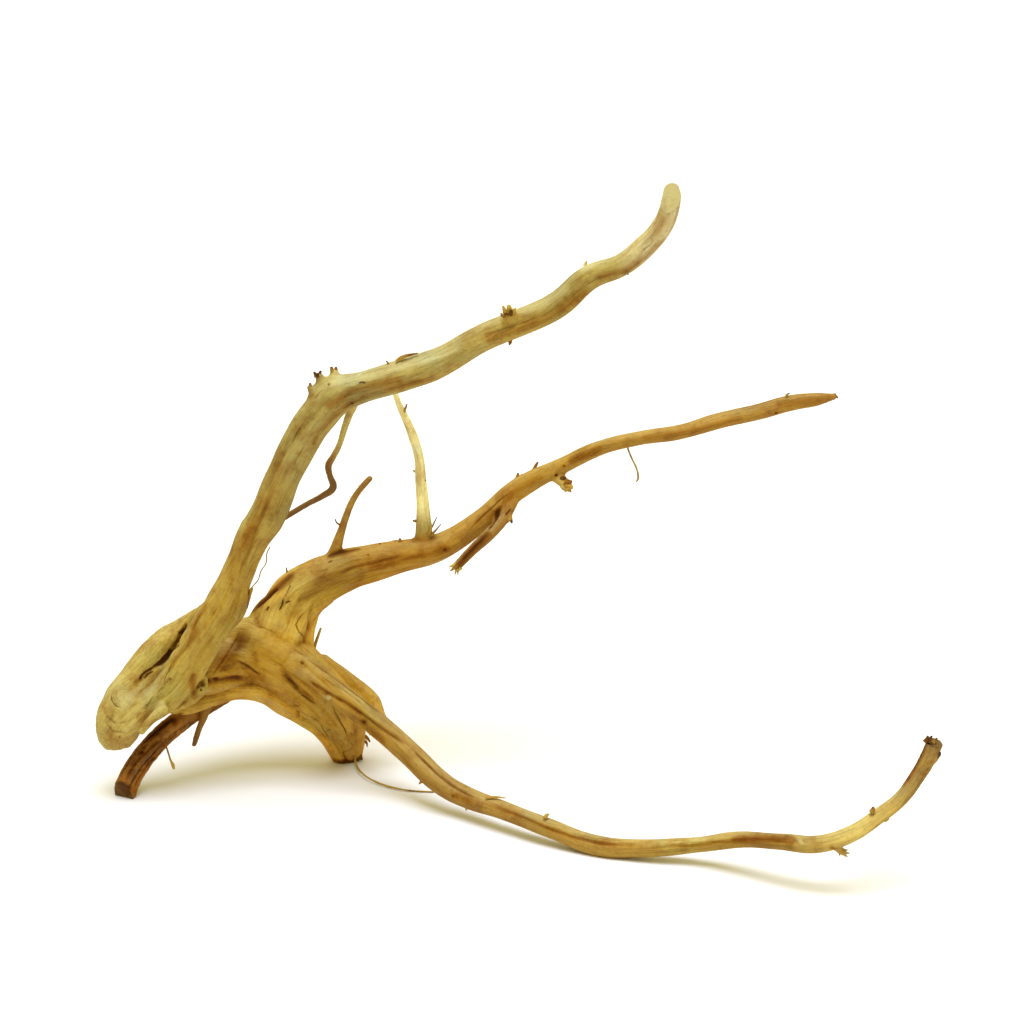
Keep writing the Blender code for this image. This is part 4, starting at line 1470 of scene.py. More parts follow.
@dataclass(frozen=True)
class WoodFinish:
    """Dry barkless wood, with the grain, streaks and hair cracks along each limb.

    Attributes:
        name: The material's name.
        sawn: Whether it is a sawn end, with rings in place of streaks.
        roughness: The surface's mean roughness.
        gloss: Its specular level.
        fibres: How far each pattern along the grain is drawn out, its scale and its detail.
        warp: How far the grain wanders, in metres.
        noises: The patterns on the object's own coordinates: name, scale, detail and roughness.
        mottles: What the patterns do to the colour, in this order.
        relief: How far each pattern raises the surface.
        bump_height: The height of the relief, in metres.
    """

    name: str
    sawn: bool = False
    roughness: float = 0.72
    gloss: float = 0.07

    fibres: tuple[tuple[float, float, float], ...] = ((0.17, 170, 4), (0.07, 1300, 3), (0.045, 330, 1))
    warp: float = 0.0016
    noises: tuple[tuple[str, float, float, float], ...] = (
        ("blotch", 85, 4, 0.6), ("cloud", 30, 2, 0.5), ("speck", 520, 3, 0.5), ("crust", 320, 4, 0.6),
    )
    mottles: tuple[Mottle, ...] = (
        Mottle("blotch", 0.46, 0.68, 0.85, (0.74, 0.58, 0.42)),
        Mottle("blotch", 0.46, 0.28, 0.60, (1.14, 1.16, 1.20)),
        Mottle("cloud", 0.50, 0.68, 0.80, (0.86, 1.00, 1.35)),
        Mottle("streak", 0.50, 0.72, 0.65, (0.78, 0.66, 0.52)),
        Mottle("streak", 0.48, 0.30, 0.50, (1.12, 1.18, 1.32)),
        Mottle("fibre", 0.47, 0.68, 0.62, (0.70, 0.61, 0.54)),
        Mottle("fibre", 0.47, 0.28, 0.60, (1.16, 1.18, 1.24)),
        Mottle("speck", 0.52, 0.72, 0.60, (0.76, 0.68, 0.60)),
        Mottle("speck", 0.46, 0.30, 0.50, (1.10, 1.12, 1.18)),
    )
    relief: tuple[tuple[str, float], ...] = (
        ("streak", 0.60), ("fibre", 0.26), ("speck", 0.22), ("line", -0.8), ("hair", -0.25),
    )
    bark_relief: float = 1.3
    bump_strength: float = 0.8
    bump_height: float = 0.0012

    hair_tone: Colour = (0.40, 0.30, 0.25)
    light_bark: Colour = (0.36, 0.14, 0.014)
    dark_bark: Colour = (0.09, 0.028, 0.005)
    bark_share: float = 0.70
    ring: Colour = (0.30, 0.19, 0.09)
    ring_scale: float = 1900.0
    heart_stain: Colour = (0.20, 0.10, 0.03)
    dusk_tone: Colour = (0.42, 0.27, 0.20)
    deep: Colour = (0.030, 0.012, 0.005)
    bleached: Colour = (0.56, 0.50, 0.26)
    most_line: float = 0.85

    def grain_group(self) -> bpy.types.NodeTree:
        """The group that turns an unbent place into broad streaks, fine fibre and hair cracks."""
        found = bpy.data.node_groups.get("grain")
        if found:
            return found
        group = bpy.data.node_groups.new("grain", "ShaderNodeTree")
        group.interface.new_socket("Place", in_out="INPUT", socket_type="NodeSocketVector")
        group.interface.new_socket("Grain", in_out="OUTPUT", socket_type="NodeSocketVector")
        nodes = Nodes(group)
        start = group.nodes.new("NodeGroupInput")
        end = group.nodes.new("NodeGroupOutput")
        warp = nodes.add("TexNoise", {"Vector": start.outputs[0], "Scale": 45.0, "Detail": 1.0})
        shift = nodes.add("VectorMath", {0: warp.outputs["Color"], 1: (self.warp,) * 3}, operation="MULTIPLY")
        inputs = {0: start.outputs[0], 1: shift.outputs[0]}
        place = nodes.add("VectorMath", inputs, operation="ADD").outputs[0]
        values = []
        for stretch, scale, detail in self.fibres:
            long = nodes.add("Mapping", {"Vector": place, "Scale": (stretch, 1.0, 1.0)}, vector_type="POINT")
            texture = nodes.add("TexNoise", {"Vector": long.outputs[0], "Scale": scale, "Detail": detail})
            values.append(texture.outputs[0])
        values[2] = nodes.sum("ABSOLUTE", nodes.sum("SUBTRACT", values[2], 0.5))
        out = nodes.add("CombineXYZ", dict(enumerate(values)))
        group.links.new(out.outputs[0], end.inputs[0])
        return group

    def grain(self, nodes: Nodes) -> tuple[bpy.types.NodeSocket, ...]:
        """Streaks, fibre and cracks, each from the families of grain that a point shares in."""
        shares = nodes.add("SeparateXYZ", {0: nodes.attribute("grain_share").outputs["Vector"]})
        total: object = (0.0, 0.0, 0.0)
        for index, name in enumerate(Dressing.names):
            group = nodes.tree.nodes.new("ShaderNodeGroup")
            group.node_tree = self.grain_group()
            nodes.tree.links.new(nodes.attribute(name).outputs["Vector"], group.inputs[0])
            inputs = {0: group.outputs[0], "Scale": shares.outputs[index]}
            scaled = nodes.add("VectorMath", inputs, operation="SCALE").outputs[0]
            total = nodes.add("VectorMath", {0: total, 1: scaled}, operation="ADD").outputs[0]
        return tuple(nodes.add("SeparateXYZ", {0: total}).outputs)

    @staticmethod
    def crack_line(nodes: Nodes) -> bpy.types.NodeSocket:
        """A thin dark line along each crack that the surface notes."""
        parts = nodes.add("SeparateXYZ", {0: nodes.attribute("crack").outputs["Vector"]})
        line = nodes.span(nodes.sum("ABSOLUTE", parts.outputs[0]), 0.48, 0.06)
        return nodes.sum("MULTIPLY", line, parts.outputs[1])

    def rings(self, nodes: Nodes) -> bpy.types.NodeSocket:
        """Growth rings round the heart of the limb that was sawn."""
        parts = nodes.add("SeparateXYZ", {0: nodes.attribute(Dressing.names[0]).outputs["Vector"]})
        flat = nodes.add("CombineXYZ", {0: parts.outputs[1], 1: parts.outputs[2]})
        radius = nodes.add("VectorMath", {0: flat.outputs[0]}, operation="LENGTH").outputs["Value"]
        return nodes.sum("PINGPONG", nodes.sum("MULTIPLY", radius, self.ring_scale), 1.0)

    def patterns(self, nodes: Nodes) -> Patterns:
        """Every pattern that the colour and the relief are made of, by its name."""
        streak, fibre, hair = self.grain(nodes)
        here = nodes.add("TexCoord").outputs["Object"]
        found = {"streak": streak, "fibre": fibre}
        for name, scale, detail, roughness in self.noises:
            inputs = {"Vector": here, "Scale": scale, "Detail": detail, "Roughness": roughness}
            found[name] = nodes.add("TexNoise", inputs).outputs[0]
        patches = nodes.span(found["cloud"], 0.42, 0.60, 0, 0.45)
        found["hair"] = nodes.sum("MULTIPLY", nodes.span(hair, 0.009, 0.002), patches)
        found["line"] = self.crack_line(nodes)
        found["tint"] = nodes.attribute("tint").outputs["Color"]
        found["dark"] = nodes.attribute("dark").outputs["Fac"]
        found["bark"] = nodes.attribute("bark").outputs["Fac"]
        return found

    def weathered(self, nodes: Nodes, found: Patterns) -> bpy.types.NodeSocket:
        """The colour of the wood's outside, with its mottling and its bark."""
        colour = found["tint"]
        for mottle in self.mottles:
            share = nodes.span(found[mottle.pattern], mottle.start, mottle.full, 0, mottle.share)
            colour = nodes.tone(share, colour, mottle.tone)
        colour = nodes.tone(found["hair"], colour, self.hair_tone)
        flakes = nodes.sum("MULTIPLY", found["crust"], 0.5)
        flakes = nodes.sum("ADD", flakes, nodes.sum("MULTIPLY", found["streak"], 0.7))
        bark = nodes.mix(nodes.span(flakes, 0.52, 0.72), self.light_bark, self.dark_bark)
        return nodes.mix(nodes.sum("MULTIPLY", found["bark"], self.bark_share), colour, bark)

    def cut(self, nodes: Nodes, found: Patterns) -> bpy.types.NodeSocket:
        """The colour of a sawn end."""
        rings = nodes.span(self.rings(nodes), 0.1, 0.95, 0, 0.10)
        colour = nodes.mix(rings, found["tint"], self.ring)
        return nodes.mix(nodes.span(found["blotch"], 0.50, 0.66, 0, 0.35), colour, self.heart_stain)

    def build(self) -> bpy.types.Material:
        """The material."""
        material = bpy.data.materials.new(self.name)
        material.use_nodes = True
        nodes = Nodes(material.node_tree)
        shader = material.node_tree.nodes["Principled BSDF"]
        found = self.patterns(nodes)

        colour = self.cut(nodes, found) if self.sawn else self.weathered(nodes, found)
        # The dark carries stains, cracks and painted shade from hollows and dips, and darkens the colour.
        colour = nodes.tone(nodes.span(found["dark"], 0.0, 0.6, 0, 1, "LINEAR"), colour, self.dusk_tone)
        colour = nodes.mix(nodes.span(found["dark"], 0.40, 1.1, 0, 0.92, "LINEAR"), colour, self.deep)
        colour = nodes.mix(nodes.span(found["dark"], -0.02, -1.0, 0, 0.85, "LINEAR"), colour, self.bleached)
        colour = nodes.mix(nodes.sum("MINIMUM", found["line"], self.most_line), colour, self.deep)
        material.node_tree.links.new(colour, shader.inputs["Base Color"])

        rough = nodes.span(found["fibre"], 0.3, 0.7, self.roughness - 0.1, self.roughness + 0.16)
        material.node_tree.links.new(rough, shader.inputs["Roughness"])
        shader.inputs["Specular IOR Level"].default_value = self.gloss

        height: object = 0.0
        for name, gain in self.relief:
            height = nodes.sum("MULTIPLY_ADD", found[name], gain, height)
        crust = nodes.sum("MULTIPLY", found["bark"], self.bark_relief)
        height = nodes.sum("MULTIPLY_ADD", found["crust"], crust, height)
        inputs = {"Strength": self.bump_strength, "Distance": self.bump_height, "Height": height}
        material.node_tree.links.new(nodes.add("Bump", inputs).outputs[0], shader.inputs["Normal"])
        return material


WOOD = WoodFinish("weathered_wood")
SAWN = WoodFinish("sawn_wood", sawn=True, roughness=0.8)


@dataclass
class Skin:
    """The whole grown piece in one closed skin, in place of the plain solid.

    Attributes:
        grain: The heart lines of all limbs.
        first_wrap: Grid size of the skin over the limbs, before the hollows are cut.
        wrap: Grid size of the finished skin.
        limb_steps: Sections of a limb from one route point to the next.
        limb_gain: Added to each limb's radius, in millimetres, for what the smoothing takes off.
        hollow_steps: Sections of a hollow from one of its pixels to the next.
        smoothing: How far each pass of the smoothing draws the points in and lets them out again.
        smoothing_rounds: How many times it does so.
        most_faces: Its triangles before the ends are sawn, at most.
        full_girth: The radius in millimetres from which the relief is at its full height.
        least_girth: The relief's least height, as a share.
        swell: The broad unevenness of the wood.
        grain_waves: The furrows along the grain.
        bark_waves: The roughness of the bark.
        fine_reach: Passes of evening that fine dips are measured against.
        broad_reach: Passes of evening that broad hollows are measured against.
        painted_underside_shade: The painted shade that undersides turn to.
        sunbleach_and_painted_light: The colour that upper sides are paled to, by sun bleaching and by painted
            light from above.
        rust_and_hollow_shade: The colour that rusty marks turn to, and broad hollows as painted shade.
        shade_span: How far a side must face down, as the start and the end of a smooth step.
        shade_share: How strong that colour is, at most.
        sun_span: How far a side must face up.
        hollow_shade_span: How deep a broad hollow must be for its painted shade, in millimetres.
        hollow_shade_share: How strong the painted shade in hollows is, at most.
        mark_rust: How strong the marks' own rust is.
        most_rust: How strong both can be together.
        dip: The depth in millimetres at which a fine dip is fully dark.
        dip_dirt_and_shade: How dark that is, as dirt and painted shade.
        hollow_dark_shade_span: How deep a broad hollow must be to darken as painted shade, in millimetres.
        hollow_dark_shade_share: How dark that painted shade becomes, at most.
    """

    grain: Grain
    first_wrap: float = 0.85 * MM
    wrap: float = 0.74 * MM
    limb_steps: int = 12
    limb_gain: float = 0.15
    hollow_steps: int = 6
    smoothing: tuple[float, float] = (0.5, -0.52)
    smoothing_rounds: int = 5
    most_faces: int = 192_000

    full_girth: float = 8
    least_girth: float = 0.25
    swell: Ripple = Ripple(0.40, (15, 15, 15), 3.1)
    grain_waves: tuple[Ripple, ...] = (Ripple(0.30, (40, 4.2, 4.2), 7.7), Ripple(0.20, (18, 1.9, 1.9), 1.3))
    bark_waves: Ripple = Ripple(0.28, (2.2, 2.2, 2.2), 5.0)

    fine_reach: int = 10
    broad_reach: int = 110
    painted_underside_shade: Colour = (0.40, 0.20, 0.022)
    sunbleach_and_painted_light: Colour = (0.47, 0.42, 0.24)
    rust_and_hollow_shade: Colour = (0.27, 0.11, 0.010)
    shade_span: tuple[float, float] = (-0.25, 0.75)
    shade_share: float = 0.15
    sun_span: tuple[float, float] = (0.25, 0.95)
    hollow_shade_span: tuple[float, float] = (0.2, 1.8)
    hollow_shade_share: float = 0.65
    mark_rust: float = 0.9
    most_rust: float = 0.95
    dip: float = 0.40
    dip_dirt_and_shade: float = 0.5
    hollow_dark_shade_span: tuple[float, float] = (0.9, 2.8)
    hollow_dark_shade_share: float = 0.16

    def build(self) -> bpy.types.Object:
        """Grows, carves and dresses the skin."""
        strands = []
        for name, limb in LIMBS.items():
            section = LIMB_SECTION if limb.thick else TWIG_SECTION
            strands.append(section.tube(name, limb.route, self.limb_steps, self.limb_gain))
        body = joined(NODE + "_skin", strands)
        self.grow_together(body, self.first_wrap)
        self.cut_hollows(body)
        self.grow_together(body, self.wrap)
        self.soften(body.data)
        marked = MarkedSurface(body.data, self.grain.hearts)
        self.carve(body.data, marked)
        self.thin(body)
        self.saw(body)
        self.dress(body.data, marked)
        body.data.materials.append(WOOD.build())
        body.data.materials.append(SAWN.build())
        log.info("%s: %d triangles", body.name, triangles(body.data))
        return body

    @staticmethod
    def grow_together(body: bpy.types.Object, size: float) -> None:
        """Wraps whatever overlaps in one even skin."""
        skin = body.modifiers.new("Skin", "REMESH")
        skin.mode = "VOXEL"
        skin.voxel_size = size
        settle(body)

    def cut_hollows(self, body: bpy.types.Object) -> None:
        """Takes the clefts and holes out of the body."""
        tree = tree_of(body.data)
        cutters = []
        for name, hollow in HOLLOWS.items():
            route = []
            for x, y, radius in hollow.pixels:
                way = VIEW.sight(x, y)
                found = tree.ray_cast(VIEW.eye, way)[0]
                if found is not None:
                    place = (found + way * hollow.sunk * MM) / MM - SET_OUT
                    route.append((*place, radius))
            cutters.append(HOLLOW_SECTION.tube(name, tuple(route), self.hollow_steps))
        cutter = joined("hollows", cutters)
        modifier = body.modifiers.new("Cut", "BOOLEAN")
        modifier.operation = "DIFFERENCE"
        modifier.object = cutter
        modifier.solver = "EXACT"
        settle(body)
        body.data.materials.clear()
        bpy.data.objects.remove(cutter)

    def soften(self, mesh: bpy.types.Mesh) -> None:
        """Takes the grid's steps off the skin without making it thinner."""
        ends = neighbours(mesh)
        points = places(mesh)
        for share in self.smoothing * self.smoothing_rounds:
            points = evened(points, ends, 1, share)
        move_to(mesh, evened(points, ends, 2))

    def carve(self, mesh: bpy.types.Mesh, marked: MarkedSurface) -> None:
        """Raises the grain and sinks the marks."""
        points = places(mesh)
        facing = evened(normals(mesh), neighbours(mesh), 2)
        facing /= np.linalg.norm(facing, axis=1)[:, None]
        found = self.grain.read(points)
        girth = np.clip(found.girth / self.full_girth, self.least_girth, 1)
        rise = self.swell.height * self.swell.at(points)
        for flow in Flow:
            mine = found.shares[:, flow.value] > 0.02
            place = found.unbent[flow.value][mine]
            weight = found.shares[mine, flow.value]
            for wave in self.grain_waves:
                rise[mine] += weight * wave.height * wave.at(place)
        rise *= girth
        reading = marked.read(points)
        bark = np.clip(found.bark + reading.bark, 0, 1)
        rise += bark * self.bark_waves.height * self.bark_waves.at(points)
        move_to(mesh, points + facing * (rise * MM - reading.sunk)[:, None])

    def thin(self, body: bpy.types.Object) -> None:
        """Leaves out faces where the skin is smooth."""
        count = triangles(body.data)
        log.info("the skin has %d triangles before it is thinned", count)
        if count <= self.most_faces:
            return
        fewer = body.modifiers.new("Fewer faces", "DECIMATE")
        fewer.ratio = self.most_faces / count
        settle(body)

    @staticmethod
    def saw(body: bpy.types.Object) -> None:
        """Cuts the feet level with the table, and saws the limb ends off."""
        work = bmesh.new()
        work.from_mesh(body.data)
        cuts = [(Vector((0, 0, 0)), Vector((0, 0, -1)), math.inf, 0)]
        for end in SAWN_ENDS:
            cuts.append((set_out(end.point), Vector(end.facing).normalized(), end.reach * MM, 1))
        for place, facing, reach, finish in cuts:
            near = [face for face in work.faces if (face.calc_center_median() - place).length < reach]
            around = {edge for face in near for edge in face.edges}
            corners = {corner for face in near for corner in face.verts}
            done = bmesh.ops.bisect_plane(
                work,
                geom=[*corners, *around, *near],
                plane_co=place,
                plane_no=facing,
                clear_outer=True,
                dist=1e-7,
            )
            edges = [item for item in done["geom_cut"] if isinstance(item, bmesh.types.BMEdge)]
            rim = [edge for edge in edges if edge.is_boundary]
            filled = bmesh.ops.holes_fill(work, edges=rim, sides=0)["faces"]
            for face in bmesh.ops.triangulate(work, faces=filled)["faces"]:
                face.material_index = finish
        bmesh.ops.triangulate(work, faces=work.faces)
        work.to_mesh(body.data)
        work.free()

    def dress(self, mesh: bpy.types.Mesh, marked: MarkedSurface) -> None:
        """Gives each point its grain, colour and dark, with painted shade on undersides and in hollows and
        painted light on upper sides.
        """
        points = places(mesh)
        ends = neighbours(mesh)
        facing = normals(mesh)
        found = self.grain.read(points)
        reading = marked.read(points)
        smooth = evened(points, ends, self.fine_reach)
        fine = ((smooth - points) * evened(facing, ends, 2)).sum(1)
        broad = ((evened(smooth, ends, self.broad_reach) - smooth) * evened(facing, ends, 12)).sum(1)
        up = evened(facing, ends, 6)[:, 2]
        bark = np.clip(found.bark + reading.bark, 0, 1)
        # Rust from the marks, and a reddish painted shade in broad hollows.
        rust = eased(broad / MM, *self.hollow_shade_span) * self.hollow_shade_share + reading.rust * self.mark_rust
        # Painted shade: undersides are darkened by how far they face down.
        colour = mingled(found.colour, self.painted_underside_shade, eased(-up, *self.shade_span) * self.shade_share)
        # Sun bleaching and painted light: upper sides are paled by how far they face up.
        colour = mingled(colour, self.sunbleach_and_painted_light, eased(up, *self.sun_span) * found.painted_top_light_and_bleach)
        colour = mingled(colour, self.rust_and_hollow_shade, np.clip(rust, 0, self.most_rust))
        # Dirt and painted shade in fine dips, and a little paler on bumps.
        dark = reading.dark + np.clip(fine / (self.dip * MM), -0.2, 1.0) * self.dip_dirt_and_shade
        # Painted shade: broad hollows are darkened.
        dark = dark + eased(broad / MM, *self.hollow_dark_shade_span) * self.hollow_dark_shade_share
        self.paint_ends(mesh, points, colour)
        mesh.shade_smooth()
        for face in mesh.polygons:
            if face.material_index:
                face.use_smooth = False
        Dressing.put_on(mesh, found.unbent, found.shares, colour, dark, bark, reading.crack)

    @staticmethod
    def paint_ends(mesh: bpy.types.Mesh, points: np.ndarray, colour: np.ndarray) -> None:
        """Gives the rims of the sawn faces the colour of each end."""
        rim = {corner for face in mesh.polygons if face.material_index for corner in face.vertices}
        which = np.array(sorted(rim), int)
        for end in SAWN_ENDS:
            place = np.array(set_out(end.point))
            mine = which[np.linalg.norm(points[which] - place, axis=1) < end.reach * MM]
            colour[mine] = end.colour


@dataclass(frozen=True)
class Stalk:
    """A thorn, splinter, hair or rootlet, followed through the photograph.

    Attributes:
        pixels: Its points as column, row, depth in millimetres and radius in millimetres.
        colours: Its colour at the root and at the tip.
    """

    pixels: tuple[tuple[float, float, float, float], ...]
    colours: tuple[Colour, Colour]

    steps: ClassVar[int] = 6
    waves: ClassVar[Ripple] = Ripple(0.22, (2.5, 2.5, 2.5), 9.0)
    wave_radii: ClassVar[tuple[float, float]] = (0.1, 2)

    def route(self) -> Route:
        """Its route in the tables' millimetres."""
        return tuple((*VIEW.at_depth(x, y, depth), radius) for x, y, depth, radius in self.pixels)

    def build(self, name: str) -> bpy.types.Object:
        """The stalk as a fine closed tube, rough along its length."""
        route = self.route()
        piece = THORN_SECTION.tube(name, route, self.steps)
        mesh = piece.data
        points = places(mesh)
        heart = HeartLine(route, self.steps)
        near = heart.nearest(points)
        unbent = heart.unbent(points, near)
        size = np.clip(heart.radii[near] / MM, *self.wave_radii)
        rise = size * self.waves.height * self.waves.at(points)
        move_to(mesh, points + normals(mesh) * (rise * MM)[:, None])
        share = np.clip(unbent[:, 0] / heart.runs[-1], 0, 1)
        start = np.tile(np.array(self.colours[0]), (len(points), 1))
        colour = mingled(start, self.colours[1], share)
        shares = np.zeros((len(points), 3))
        shares[:, 0] = 1
        none = np.zeros(len(points))
        Dressing.put_on(mesh, [unbent] * 3, shares, colour, none, none, np.zeros((len(points), 2)))
        mesh.shade_smooth()
        return piece


